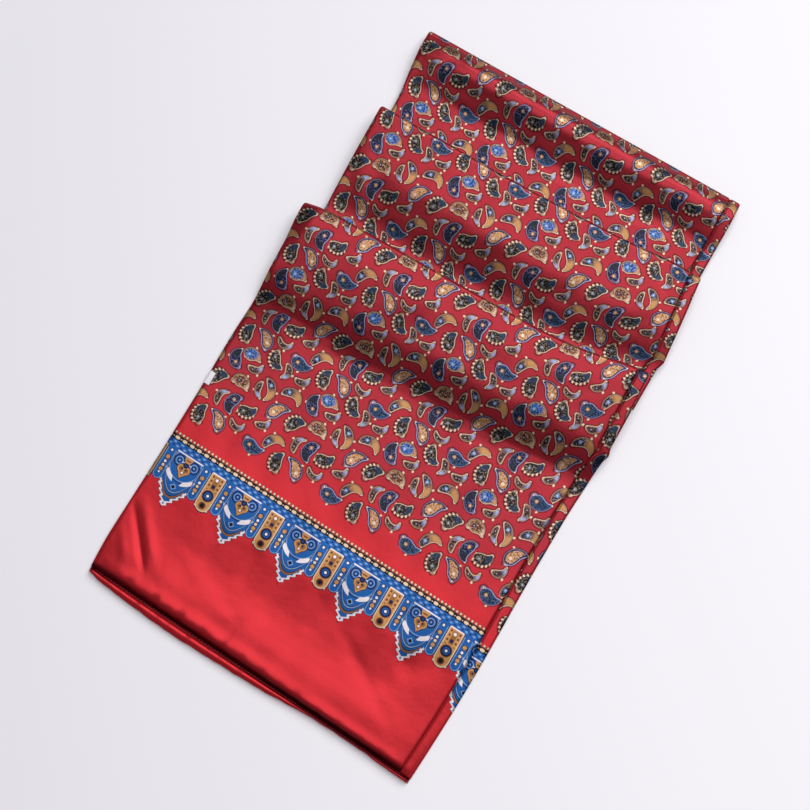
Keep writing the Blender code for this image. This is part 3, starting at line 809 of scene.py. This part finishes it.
def print_group(name):
    """A print's node group, with the paint on its ground and the fields across and along."""
    tree, start, end = make_group(
        name, (("Place", "NodeSocketVector"), ("Ground", "NodeSocketColor")),
        (("Color", "NodeSocketColor"),))
    across, along, _ = parts(tree, start.outputs["Place"])
    return tree, start.outputs["Place"], end, Paint(tree, start.outputs["Ground"]), across, along


def look_up(tree, position, rows):
    """Table with three numbers from 0 to 1 to a row: the row at a position, as a colour."""
    node = make(tree, "ShaderNodeValToRGB", {0: position})
    ramp = node.color_ramp
    ramp.interpolation = "CONSTANT"
    ramp.elements.remove(ramp.elements[1])
    ramp.elements[0].position = 0.0
    for index, row in enumerate(rows):
        element = ramp.elements[0] if index == 0 else ramp.elements.new(index / len(rows))
        element.color = (*row[:3], 1.0)
    return node.outputs[0]


# ---- paisley ------------------------------------------------------------------------------------
DROP_STEPS = 41
ELLIPSE_ROUNDS = 400
ROOM_SCALE = 24.0         # the tables' numbers are divided by these, to lie between 0 and 1
CURVE_SCALE = 0.3
BLOTCH_SCALE = 0.75
BLOTCH_DARK = (0.45, 0.05)     # blotches below this level are dark, over this softness
BLOTCH_LIGHT = (0.57, 0.05)    # and specks above this one are light

# How far from its drop each layer starts (+ outwards), over what softness, and how strong it is.
OUTLINE = 0.5             # width of a motif's outline
RIM = (1.0, 0.3)          # the dark rim round it
RIM_STRENGTH = 0.85
OUTLINE_FROM = (OUTLINE - 0.1, 0.2)
OUTLINE_LIT = (0.5, 0.45)      # how strong it is, by its lit side, and at the least
LINER_FROM = (-0.05, 0.25)
BODY_FROM = (-0.42, 0.2)
CORE_FROM = (0.0, 0.25)   # besides the kind's own depth
DARK_FROM = (-0.1, 0.2)
DARK_STRENGTH = 0.65
SPECKS_FROM = (-0.5, 0.3)
TIP_FROM = (-0.3, 0.2)
TIP_SOFT = 0.12
TIP_STRENGTH = 0.85
EYE_FROM = (-0.7, 0.2)
EYE_AT = 0.27             # share of the drop's length
EYE = (1.3, 0.35)         # radius and softness
EYE_STRENGTH = 0.85
PUPIL = (0.4, 0.25)
PUPIL_STRENGTH = 0.6

# Spikes on a motif's outer side, and the light teeth between them.
SPIKE_REACH = 0.8
SPIKE_SIDE = (0.2, 1.0)
SPIKE_SHARES = ((0.8, 0.1), (0.06, 0.05))     # they end and start here along the drop
TOOTH_WAVES = 2.9         # radians to the millimetre
TOOTH = (0.62, 0.2)
TOOTH_ROW = (0.35, 0.75, 0.25)

# Beads at a motif's ends and beside it.
SWITCH = 0.01             # softness of a mask that only picks a part
BEADS_AT_TIP = 0.25       # kinds above these levels have beads there
BEADS_AT_BOTH = 0.75
BEAD_GAP = 0.8
BEAD_BESIDE = (0.06, 1.2)      # share of the length along, distance off
RIM_OF_BEAD = 0.7         # strength of its rim
END_BEADS = ((1.05, 0.3), (0.65, 0.25))       # rim, bead: radius and softness
SIDE_BEADS = ((0.95, 0.3), (0.6, 0.25))


def drop_outline(length, fatness, taper, bend):
    """Outline of a curled drop round the middle of its spine, its widest half width and its bend."""
    t = (1 - np.cos(np.linspace(0.0, math.pi, DROP_STEPS))) / 2
    profile = np.sqrt(t * (1 - t)) * (1 - taper * t)
    width = fatness * length / profile.max()
    curve = math.radians(bend) / length
    turned = (t - 0.5) * length * curve
    points = []
    for side in (1, -1):
        reach = (1 / curve - side * (width * profile + OUTLINE)
                 - math.copysign(TIP_HOOK * length, bend) * t ** 4)
        points.append(np.stack([reach * np.sin(turned), 1 / curve - reach * np.cos(turned)], axis=1))
    return np.concatenate(points), width, curve


def least_ellipse(points):
    """Smallest ellipse round some points: centre, half sizes and turn."""
    count = len(points)
    lifted = np.vstack([points.T, np.ones(count)])
    share = np.full(count, 1 / count)
    for _ in range(ELLIPSE_ROUNDS):
        spread = lifted @ np.diag(share) @ lifted.T
        reach = np.einsum("ij,ji->i", lifted.T @ np.linalg.inv(spread), lifted)
        far = reach.argmax()
        step = (reach[far] - 3) / (2 * (reach[far] - 1) + reach[far] - 1)
        share = (1 - step) * share
        share[far] += step
    centre = points.T @ share
    form = np.linalg.inv(points.T @ np.diag(share) @ points - np.outer(centre, centre)) / 2
    sizes, ways = np.linalg.eigh(form)
    return centre, 1 / np.sqrt(sizes), math.atan2(ways[1, 0], ways[0, 0])


def nearest_room(tree, place):
    """The place in the room of the drop that it lies nearest to, and each drop's numbers."""
    drops, rooms = [], []
    half = (PRINT_REPEAT[0] / 2, PRINT_REPEAT[1] / 2)
    best, nearest = None, None
    for index, (across, down, length, fatness, taper, bend, turn, _) in enumerate(MOTIFS):
        points, width, curve = drop_outline(length, fatness, taper, bend)
        centre, sizes, lean_by = least_ellipse(points)
        turn = math.radians(turn)
        room_x = PRINT_ORIGIN[0] + across + centre[0] * math.cos(turn) - centre[1] * math.sin(turn)
        room_y = PRINT_ORIGIN[1] - down + centre[0] * math.sin(turn) + centre[1] * math.cos(turn)
        drops.append((length, width, curve, taper))
        rooms.append((*sizes, *centre, lean_by, turn + lean_by))
        away = vector_math(tree, "SUBTRACT", place, (room_x, room_y, 0.0))[0]
        folded = vector_math(tree, "WRAP", away, (*half, 1.0), (-half[0], -half[1], -1.0))[0]
        turned = make(tree, "ShaderNodeMapping", {
            "Vector": folded, "Location": (0.0, 0.0, -float(index)),
            "Rotation": (0.0, 0.0, turn + lean_by), "Scale": (*sizes, 1.0)},
            vector_type="TEXTURE").outputs[0]
        apart = vector_math(tree, "DISTANCE", turned, (0.0, 0.0, float(index)))
        distance = Field(tree, apart["Value"])
        if best is None:
            best, nearest = turned, distance
            continue
        closer = distance.math("LESS_THAN", nearest)
        best = make(tree, "ShaderNodeMix", {0: closer, 4: best, 5: turned},
                    data_type="VECTOR").outputs[1]
        nearest = distance.least(nearest)
    return best, drops, rooms


def paisley_group():
    """Small curled drops on a ground: picks the drop whose room a place lies in, and draws it."""
    tree, place, end, paint, _, along = print_group("Paisley print")
    best, drops, rooms = nearest_room(tree, place)
    forward, sideways, index = parts(tree, best)
    position = index.math("MULTIPLY_ADD", 1 / len(MOTIFS), 0.5 / len(MOTIFS))

    def read(scale, middle, *table):
        """Fields of a table's columns, which the look-up keeps between 0 and 1."""
        rows = [[number / scale + middle for number in row] for row in zip(*table)]
        found = look_up(tree, position, [row + [0.0] * (3 - len(row)) for row in rows])
        fields = parts(tree, found, "ShaderNodeSeparateColor")[:len(table)]
        return [(field - middle) * scale for field in fields]

    kinds = list(zip(*(KINDS[row[-1]] for row in MOTIFS)))
    body, core, outline, eye, tip = (look_up(tree, position, colours) for colours in kinds[:5])
    lengths_of, widths, curves, tapers = zip(*drops)
    *room_sizes, middles_x, middles_y, leans, turns = zip(*rooms)
    core_depth, spike, speck = read(2.0, 0.0, *kinds[5:8])
    bead, taper, tip_from = read(1.0, 0.0, kinds[8], tapers, kinds[9])
    half_length, half_width, length = read(ROOM_SCALE, 0.0, *room_sizes, lengths_of)
    middle_x, middle_y, width = read(2 * ROOM_SCALE, 0.5, middles_x, middles_y, widths)
    (curve,) = read(CURVE_SCALE, 0.5, curves)
    sine, cosine = read(2.0, 0.5, map(math.sin, leans), map(math.cos, leans))
    up_sine, up_cosine = read(2.0, 0.5, map(math.sin, turns), map(math.cos, turns))

    # the place beside the drop's spine: t runs from 0 at its head to 1 at its tip
    room_x, room_y = forward * half_length, sideways * half_width
    x = room_x * cosine - room_y * sine + middle_x
    y = (room_x * sine + room_y * cosine + middle_y) * curve.math("SIGN")
    radius = abs(curve).math("POWER", -1.0)
    run = radius * x.math("ARCTAN2", radius - y)
    t = run / length + 0.5
    held = t.math("MULTIPLY", 1.0, clamp=True)
    side = radius - span(x, radius - y) - length * held.math("POWER", 4.0) * TIP_HOOK
    rest = 1.0 - held
    thin = 1.0 - taper * held
    beyond = (t - held) * length
    inside = side * side - width * width * held * rest * thin * thin + beyond * beyond
    slope = width * width * thin * ((rest - held) * thin - 2.0 * taper * held * rest) / length
    steepness = (slope * slope + (side * side + beyond * beyond) * 4.0).math("SQRT")
    off = inside / (steepness + 0.25)
    spikes_end, spikes_start = SPIKE_SHARES
    spikes = spike * side.below(*SPIKE_SIDE) * held.below(*spikes_end) * held.above(*spikes_start)
    shown = (along - room_x * up_sine - room_y * up_cosine).above(PRINT_STARTS, SWITCH)

    paint.lay((off - spikes * SPIKE_REACH).below(*RIM) * shown * RIM_STRENGTH, DARK_RED)
    lit = (side + (run * 0.9).math("SINE")).above(-0.5, 0.8)
    paint.lay(off.below(*OUTLINE_FROM) * shown * (lit * OUTLINE_LIT[0] + OUTLINE_LIT[1]), outline)
    paint.lay(off.below(*LINER_FROM) * shown, LINER)
    paint.lay(off.below(*BODY_FROM) * shown, body)
    paint.lay((off + core_depth).below(*CORE_FROM) * shown, core)
    blotches = noise(tree, place, BLOTCH_SCALE, 1.0)
    paint.lay(blotches.below(*BLOTCH_DARK) * off.below(*DARK_FROM) * shown * DARK_STRENGTH, BLACK)
    paint.lay(blotches.above(*BLOTCH_LIGHT) * speck * off.below(*SPECKS_FROM) * shown, outline)
    tipped = (t - tip_from).above(0.0, TIP_SOFT) * off.below(*TIP_FROM) * shown
    paint.lay(tipped * TIP_STRENGTH, tip)
    head = span((t - EYE_AT) * length, side)
    deep = off.below(*EYE_FROM) * shown
    paint.lay(head.below(*EYE) * deep * EYE_STRENGTH, eye)
    paint.lay(head.below(*PUPIL) * deep * PUPIL_STRENGTH, WHITE)
    teeth = (run * TOOTH_WAVES).math("COSINE").math("MULTIPLY_ADD", 0.5, 0.5)
    paint.lay(teeth.above(*TOOTH) * off.near(*TOOTH_ROW) * spikes * shown, CREAM)

    beaded = bead.above(BEADS_AT_TIP, SWITCH) * shown
    at_ends = beaded * t.above(0.5, SWITCH).most(bead.above(BEADS_AT_BOTH, SWITCH))
    at_side = beaded * side.below(0.0, SWITCH)
    ends = span(abs(run) - length / 2.0 - BEAD_GAP, side)
    beside = span(run - length * BEAD_BESIDE[0], off - BEAD_BESIDE[1])
    for away, (rim, ball), wanted in ((ends, END_BEADS, at_ends), (beside, SIDE_BEADS, at_side)):
        paint.lay(away.below(*rim) * wanted * RIM_OF_BEAD, DARK_RED)
        paint.lay(away.below(*ball) * wanted, CREAM)
    fill(tree, end, {"Color": paint.colour})
    return tree


# ---- border -------------------------------------------------------------------------------------
# Every number is in millimetres: down from the row of small dots, or beside a pendant's or a tab's
# own middle line.
BLUE_TAB_AT = 15.0        # from the pendant's middle line
TABS_FROM = 10.8
YOKE_END = 31.0           # the tabs and pendants hang together down to here
# Round parts: how far beside the line, how far down, radius, half width of a ring (0: a disc), colour.
SCROLL = ((6.2, 16.2, 3.9, 0.45, NAVY), (6.2, 16.2, 2.6, 0.3, PALE_BLUE), (6.2, 16.2, 1.5, 0.4, NAVY),
          (6.2, 16.2, 0.7, 0, PALE_BLUE))
HEART_JEWELS = ((1.5, 20.5, 0.8, 0, NAVY), (0, 23.2, 0.8, 0, WHITE), (0, 17.4, 2.1, 0, NAVY),
                (0, 17.4, 0.9, 0, TEAL))
TAB_JEWELS = ((0, 14.3, 1.1, 0, WHITE), (0, 19.6, 1.4, 0, NAVY), (0, 27.2, 4.4, 0, BROWN),
              (0, 27.2, 3.9, 0, NAVY), (0, 27.2, 2.2, 0.45, ROYAL), (0, 27.2, 1, 0, WHITE),
              (0, 35, 2.7, 0, BROWN), (0, 35, 1.6, 0, BLACK))
# Beads of a blue tab: how far down, radius, colour.  Each has a dark rim of the next width.
BLUE_BEADS = ((13, 0.9, WHITE), (18.6, 1.5, GOLD), (22.4, 1, WHITE), (25.4, 1.1, CREAM),
              (28.7, 1.5, GOLD), (31.2, 0.8, WHITE))
BEAD_RIM = 0.5
# Curved bars of a pendant's foot: how far down, half width, how far they reach across, colour.
FOOT_BARS = ((43, 1.4, 9, NAVY), (43, 0.75, 9, DEEP_GOLD))
CHEST_BARS = ((39, 1, 9.5, NAVY), (39, 0.5, 9.5, PALE_BLUE))
# Dashes of the blue band: how far down, shift in shares of their pitch.
DASH_ROWS = ((6.4, 0), (8.7, 0.5))


def border_group():
    """Border of hanging pendants, tabs and beads, drawn downwards from its row of small dots."""
    tree, _, end, paint, across, along = print_group("Border print")
    down = BORDER_AT - along
    x = abs((across - BORDER_FIRST).wrap(BORDER_REPEAT / 2))
    gold_tab = BORDER_REPEAT / 2 - x
    blue_tab = abs(x - BLUE_TAB_AT)
    hung = down.above(TABS_FROM)

    def lay_rounds(line, rows, within=None):
        for beside, at, radius, half_width, colour in rows:
            away = span(line - beside if beside else line, down - at)
            mask = away.near(radius, half_width) if half_width else away.below(radius)
            paint.lay(within * mask if within else mask, colour)

    # outlines
    tip = 50.9 - down
    step = (tip / 1.9).math("PINGPONG", 1.0)
    pendant = x - (tip * 0.74 + step * 2.2 - 0.7).least(12.4)
    gold = span(gold_tab, (down - 33.6).most(0.0)) - 5.8
    gold = gold.least(abs(gold_tab - 4.9) + abs(down - 37.0) - 1.0)
    blue = span(blue_tab, (down - 32.6).most(0.0)) - 3.3
    whole = pendant.least(gold).least(blue).least(down - YOKE_END)
    paint.lay(whole.below(0.7, 0.4) * down.above(1.0) * 0.75, DARK_RED)
    paint.lay(whole.below(0.0) * down.above(1.0), ROYAL)

    # the pendant's serrated foot
    foot = pendant.below(0.0) * down.above(33.8, 0.4)
    paint.lay(foot * pendant.above(-2.3, 0.25), WHITE)
    paint.lay(foot * pendant.above(-3.0, 0.25) * pendant.below(-2.3, 0.25), NAVY)
    curve = down + x * x * 0.105
    for at, half_width, reach, colour in FOOT_BARS:
        paint.lay(curve.near(at, half_width) * x.below(reach) * down.above(YOKE_END), colour)
    paint.lay(curve.above(43.9) * pendant.below(-2.2), ROYAL)
    for at, half_width, reach, colour in CHEST_BARS:
        paint.lay(curve.near(at, half_width) * x.below(reach), colour)
    arrow = x + abs(down - 35.0)
    paint.lay(arrow.below(2.6), PALE_BLUE)
    paint.lay(arrow.below(1.6), BLACK)

    # the pendant's disc, crescents, frame and scrolls
    disc = span(x, down - 17.9)
    crescent = disc.below(14.7) * span(x + 1.0, down - 15.8).above(13.9)
    paint.lay(disc.near(11.6, 0.35) * x.below(11.0), PALE_BLUE)
    paint.lay(disc.near(12.6, 0.35) * down.above(18.0), NAVY)
    paint.lay(crescent * down.above(25.0, 0.6) * (x + (down - 32.0) * 0.4).above(3.2), WHITE)
    paint.lay(x.near(11.2, 0.4) * hung * down.below(24.0, 1.0), LAVENDER)
    lay_rounds(x, SCROLL, hung * down.below(27.0) * x.below(11.4))

    # the heart and what hangs over it
    heart = span(x - 2.2, down - 20.6) - 2.9
    heart = heart.least((x * 0.8 + (down - 27.6) * 0.6).most(20.6 - down))
    for inset, colour in ((0.5, NAVY), (0.0, GOLD), (-1.3, DEEP_GOLD)):
        paint.lay(heart.below(inset, 0.2), colour)
    lay_rounds(x, HEART_JEWELS)
    cap = (x - 2.0 - (15.6 - down) * 0.35).below(0.0) * down.above(11.4) * down.below(15.6)
    paint.lay(cap, GOLD)
    paint.lay(cap * down.near(13.6, 0.5) * x.below(1.8), BROWN)
    paint.lay(down.near(16.2, 0.3) * x.near(3.0, 0.9), WHITE)

    # the gold tab
    paint.lay(gold.below(0.6) * hung, NAVY)
    tab = gold.below(0.0) * hung
    paint.lay(tab, GOLD)
    paint.lay(tab * gold.above(-0.7), CREAM)
    beads = span(gold_tab - 3.5, (down - 13.0).wrap(1.7))
    paint.lay(beads.below(0.85) * down.below(23.0) * down.above(11.3), BROWN)
    paint.lay(gold_tab.below(1.9) * down.above(12.4) * down.below(22.0), DEEP_GOLD)
    lay_rounds(gold_tab, TAB_JEWELS)

    # the blue tabs
    clear = gold.above(0.5)
    paint.lay(blue.near(0.45, 0.35) * hung * clear, NAVY)
    paint.lay(abs(blue).below(0.3) * down.above(12.0) * clear, PALE_BLUE)
    for at, size, colour in BLUE_BEADS:
        lay_rounds(blue_tab, ((0, at, size + BEAD_RIM, 0, NAVY), (0, at, size, 0, colour)))

    # the bands above
    pitch = BORDER_REPEAT / 8
    band = down.above(4.9) * down.below(10.4)
    paint.lay(band, ROYAL)
    for at, shift in DASH_ROWS:
        dash = span((across - shift * pitch).wrap(pitch / 2) * 0.55, down - at)
        paint.lay(band * dash.below(0.65), PALE_BLUE)
        gap = span((across - (shift + 0.5) * pitch).wrap(pitch / 2), down - at)
        paint.lay(band * gap.below(0.6), NAVY)
    paint.lay(down.near(TABS_FROM, 0.45) * x.below(11.0).most(gold_tab.below(5.4)), WHITE)
    paint.lay(down.above(0.9) * down.below(5.0), BLACK)
    paint.lay(down.near(1.2, 0.35), BROWN)
    paint.lay(span(across.wrap(pitch / 2) * 0.6, down - 3.3).below(1.15), CREAM)
    paint.lay(span((across - pitch / 2).wrap(pitch / 2), down - 3.3).below(0.45), CREAM)
    dot = span(across.wrap(pitch / 4), down)
    paint.lay(dot.below(1.15) * down.above(-1.4), BROWN)
    paint.lay(dot.below(0.8) * down.above(-1.4), CREAM)
    fill(tree, end, {"Color": paint.colour})
    return tree


# ---- finishes -----------------------------------------------------------------------------------
SLUB_STRETCH = (0.25, 3.2, 1.0)    # the floats run across the cloth
SLUB_DETAIL = 2.0
SLUB_HEIGHT = 0.012       # millimetres
SLUB_ROUGHNESS = (0.14, 0.24)  # roughness: gain by the threads, and at the least
SLUB_SHADE = 0.1
CRINKLE = (0.16, 3.0, 0.55)    # scale, detail, roughness of the noise
CRINKLE_HEIGHT = 0.15
SILK_METALLIC = 0.55      # how much of the sheen takes the colour of the threads
SILK_SPECULAR = 0.2
SILK_TINT = (1.0, 0.8, 0.8, 1.0)
SILK_DEPTH = 0.6          # the threads are darker than they look in their own sheen
SILK_BUMP = (0.8, 0.001)  # strength, and metres to one unit of height
RIBBON_WAVES = 900.0
RIBBON_SHADE = 0.82
RIBBON_BUMP = (0.3, 0.0001)
RIBBON_ROUGHNESS = 0.45
THREAD_ROUGHNESS = 0.5
THREAD_METALLIC = 0.2


def weave_group():
    """Satin weave: fine floats across the cloth with slubs in them, and soft crinkles."""
    tree, start, end = make_group(
        "Satin weave", (("Place", "NodeSocketVector"),),
        (("Height", "NodeSocketFloat"), ("Roughness", "NodeSocketFloat"), ("Shade", "NodeSocketFloat")))
    place = start.outputs["Place"]
    stretched = make(tree, "ShaderNodeMapping", {"Scale": SLUB_STRETCH, "Vector": place})
    threads = noise(tree, stretched.outputs[0], 1.0, SLUB_DETAIL)
    height = threads * SLUB_HEIGHT + noise(tree, place, *CRINKLE) * CRINKLE_HEIGHT
    shade = threads.math("MULTIPLY_ADD", SLUB_SHADE, SILK_DEPTH - SLUB_SHADE / 2)
    fill(tree, end, {"Height": height, "Shade": shade,
                     "Roughness": threads.math("MULTIPLY_ADD", *SLUB_ROUGHNESS)})
    return tree


def new_material(name):
    """A material with its tree and its Principled shader."""
    material = bpy.data.materials.new(name)
    material.use_nodes = True
    return material, material.node_tree, material.node_tree.nodes["Principled BSDF"]


def bump(tree, height, strength, distance):
    """Normals of a surface with a fine relief."""
    return make(tree, "ShaderNodeBump", {
        "Height": height, "Strength": strength, "Distance": distance}).outputs[0]


def silk_material(name, weave, groups):
    """Red silk satin with the prints of the given groups on it."""
    material, tree, shader = new_material(name)
    cloth = make(tree, "ShaderNodeUVMap", {}, uv_map="cloth").outputs[0]
    place = vector_math(tree, "MULTIPLY", cloth, (UV_MM, UV_MM, 0.0))[0]
    run = parts(tree, place)[1]
    dyed = Paint(tree, tree.nodes.new("ShaderNodeRGB").outputs[0])
    dyed.colour.default_value = RED
    dyed.lay(run.above(*PRINT_GROUND), PRINT_RED)
    # painted shade: the hem's trough is laid in darker red, from the roll's inner side to the foot of the
    # face panel
    dyed.lay(run.above(*TROUGH_SHADE_FROM) * run.below(*TROUGH_SHADE_TO), TROUGH_SHADE_RED)
    colour = dyed.colour
    for group in groups:
        drawn = make(tree, "ShaderNodeGroup", {"Place": place, "Ground": colour}, node_tree=group)
        colour = drawn.outputs["Color"]
    woven = make(tree, "ShaderNodeGroup", {"Place": place}, node_tree=weave).outputs
    fill(tree, shader, {
        "Base Color": mix(tree, 1.0, colour, woven["Shade"], blend_type="MULTIPLY"),
        "Roughness": woven["Roughness"], "Normal": bump(tree, woven["Height"], *SILK_BUMP),
        "Metallic": SILK_METALLIC, "Specular IOR Level": SILK_SPECULAR,
        "Specular Tint": SILK_TINT})
    return material


def plain_material(name, colour, roughness, metallic=0.0):
    """A thread's or a ribbon's finish, with a faint weave in its colour."""
    material, tree, shader = new_material(name)
    place = tree.nodes.new("ShaderNodeTexCoord").outputs["Object"]
    wave = make(tree, "ShaderNodeTexWave", {
        "Vector": place, "Scale": RIBBON_WAVES, "Distortion": 1.5}).outputs[1]
    darker = (*(part * RIBBON_SHADE for part in colour[:3]), 1.0)
    fill(tree, shader, {
        "Base Color": mix(tree, wave, colour, darker), "Normal": bump(tree, wave, *RIBBON_BUMP),
        "Roughness": roughness, "Metallic": metallic})
    return material


# ---- stage ------------------------------------------------------------------------------------
def add_camera():
    """The camera, nearly overhead, turned like the photo."""
    tilt = math.radians(CAMERA_TILT)
    place = LOOK_AT + CAMERA_DISTANCE * (-math.sin(tilt) * PHOTO_UP.normalized()
                                         + math.cos(tilt) * Vector((0.0, 0.0, 1.0)))
    view = (LOOK_AT - place).normalized()
    right = view.cross(PHOTO_UP).normalized()
    up = right.cross(view)
    data = bpy.data.cameras.new("camera")
    data.lens = CAMERA_LENS
    data.sensor_width = SENSOR
    camera = show("camera", data)
    camera.matrix_world = Matrix(
        ((right.x, up.x, -view.x, place.x), (right.y, up.y, -view.y, place.y),
         (right.z, up.z, -view.z, place.z), (0.0, 0.0, 0.0, 1.0)))
    bpy.context.scene.camera = camera


def add_light(name, place, aim, size, power, colour):
    """A wide soft light that faces its aim."""
    data = bpy.data.lights.new(name, "AREA")
    data.shape = "RECTANGLE"
    data.size, data.size_y = size
    data.energy = power
    data.color = colour
    lamp = show(name, data)
    lamp.location = place
    lamp.rotation_euler = (Vector(aim) - Vector(place)).to_track_quat("-Z", "Y").to_euler()


def add_stage():
    """Pale table with painted light that makes it paler at the right, under soft daylight from beyond the
    far end.
    """
    scene = bpy.context.scene
    scene.view_settings.view_transform = "Standard"
    scene.world = bpy.data.worlds.new("soft room")
    scene.world.use_nodes = True
    tree = scene.world.node_tree
    fill(tree, tree.nodes["Background"], {"Color": SKY, "Strength": SKY_STRENGTH})
    for row in LIGHTS:
        add_light(*row)
    bpy.ops.mesh.primitive_plane_add(size=TABLE_SIZE, location=(0.0, 0.0, 0.0))
    table = bpy.context.object
    table.name = "table"
    material, tree, shader = new_material("pale table")
    place = tree.nodes.new("ShaderNodeTexCoord").outputs["Object"]
    # painted light: the table's colour grows paler towards the right
    painted_light = parts(tree, place)[0].math("MULTIPLY_ADD", *TABLE_LIGHT_GRADIENT, clamp=True)
    fill(tree, shader, {"Base Color": mix(tree, painted_light, TABLE_SHADED_LEFT, TABLE_LIT_RIGHT),
                        "Roughness": TABLE_ROUGHNESS})
    table.data.materials.append(material)


# ---- stitches ----------------------------------------------------------------------------------
def stitch_tree():
    """Geometry nodes: short threads at an even pitch along a line."""
    tree, start, end = make_group(
        "Stitches", (("Line", "NodeSocketGeometry"), ("Pitch", "NodeSocketFloat"),
                     ("Thread", "NodeSocketVector"), ("Finish", "NodeSocketMaterial")),
        (("Stitches", "NodeSocketGeometry"),), "GeometryNodeTree")
    given = start.outputs
    spread = make(tree, "GeometryNodeResampleCurve",
                  {"Curve": given["Line"], "Length": given["Pitch"]}, mode="LENGTH").outputs[0]
    thread = make(tree, "GeometryNodeMeshUVSphere", {"Segments": 8, "Rings": 6, "Radius": 1.0})
    way = tree.nodes.new("GeometryNodeInputTangent").outputs[0]
    turn = make(tree, "FunctionNodeAlignRotationToVector", {"Vector": way}, axis="X").outputs[0]
    copies = make(tree, "GeometryNodeInstanceOnPoints", {
        "Points": spread, "Instance": thread.outputs["Mesh"], "Rotation": turn,
        "Scale": given["Thread"]}).outputs[0]
    real = make(tree, "GeometryNodeRealizeInstances", {0: copies}).outputs[0]
    dress = make(tree, "GeometryNodeSetMaterial", {"Geometry": real, "Material": given["Finish"]})
    fill(tree, end, {"Stitches": dress.outputs[0]})
    return tree


def add_stitches(name, line, finish):
    """A row of stitches along a line of points in millimetres."""
    curve = bpy.data.curves.new(name + "_line", "CURVE")
    curve.dimensions = "3D"
    spline = curve.splines.new("POLY")
    spline.points.add(len(line) - 1)
    for point, place in zip(spline.points, in_metres(line)):
        point.co = (*place, 1.0)
    guide = show(name + "_line", curve)
    modifier = guide.modifiers.new("Stitches", "NODES")
    modifier.node_group = stitch_tree()
    given = {"Pitch": STITCH_PITCH * MM, "Thread": [size * MM for size in STITCH_SIZE],
             "Finish": finish}
    for item in modifier.node_group.interface.items_tree:
        if item.name in given:
            modifier[item.identifier] = given[item.name]
    bpy.context.view_layer.update()
    seen = guide.evaluated_get(bpy.context.evaluated_depsgraph_get())
    mesh = bpy.data.meshes.new_from_object(seen)
    guide.modifiers.remove(modifier)
    bpy.data.objects.remove(guide, do_unlink=True)
    mesh.name = name
    mesh.shade_smooth()
    return show(name, mesh)


def hem_stitch_line():
    """The line of the hem's stitches, on the foot of its roll."""
    left, right = edges(FRONT_EDGES, HEM_AT)
    line = []
    for across in np.arange(left + HEM_END, right - HEM_END, 1.0):
        _, width, _ = hem_form(across, 0.0)
        height = hem_form(across, 1 - (HEM_DEPTH - STITCH_ALONG) / width)[2]
        line.append((across, STITCH_ALONG + lean(across, HEM_AT), float(height) + STITCH_LIFT))
    return line


# ---- the scarf ----------------------------------------------------------------------------------
def main():
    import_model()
    weave, paisley, border = weave_group(), paisley_group(), border_group()
    printed = silk_material("printed red satin", weave, (paisley,))
    end_print = silk_material("red satin with border", weave, (paisley, border))
    plain = silk_material("plain red satin", weave, ())
    ribbon = plain_material("white ribbon", RIBBON_WHITE, RIBBON_ROUGHNESS)
    thread = plain_material("red thread", THREAD_RED, THREAD_ROUGHNESS, THREAD_METALLIC)

    run = {}
    for name, path_rows in (("front", FRONT_PATH), ("middle", MIDDLE_PATH), ("rear", REAR_PATH)):
        points, normals, _ = stretch_path(path_rows, LAPS[name])
        run[name] = (points[:, 0], lengths(points + TUBE_HEIGHT * normals) + path_rows[0][0])

    def ran(name, along):
        """Length of cloth up to a station on the way up."""
        places, values = run[name]
        top = int(places.argmax())
        return float(np.interp(along, places[:top], values[:top]))

    middle_shift = ran("front", FIRST_FOLD_AT) + FIRST_FOLD_HIDES - ran("middle", FIRST_FOLD_AT)
    rear_shift = (ran("middle", SECOND_FOLD_AT) + middle_shift + SECOND_FOLD_HIDES
                  - ran("rear", SECOND_FOLD_AT))
    pieces = []
    for name, path_rows, edge_rows, crown_rows, shift, finish in (
            ("front", FRONT_PATH, FRONT_EDGES, FRONT_CROWN, 0.0, end_print),
            ("middle", MIDDLE_PATH, MIDDLE_EDGES, MIDDLE_CROWN, middle_shift, printed),
            ("rear", REAR_PATH, REAR_EDGES, REAR_CROWN, rear_shift, printed)):
        face, back = add_stretch(name, path_rows, edge_rows, crown_rows, shift, finish)
        pieces += [(face, name + "_face"), (back, name + "_back")]
        hem_cut = HEM_DEPTH if name == "front" else 0.0
        cut = (float(run[name][1][-1] - path_rows[0][0]) + hem_cut) * MM
    pieces.append((add_hem(plain), "end_hem"))
    pieces.append((add_hidden_folds(printed), "hidden_folds"))
    for piece, node in pieces:
        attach(piece, "root")
        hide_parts(node)
    label = add_label(ribbon)
    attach(label, "root")
    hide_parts("size_label")
    stitches = add_stitches("hem_stitches", hem_stitch_line(), thread)
    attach(stitches, "root")

    add_stage()
    add_camera()


main()
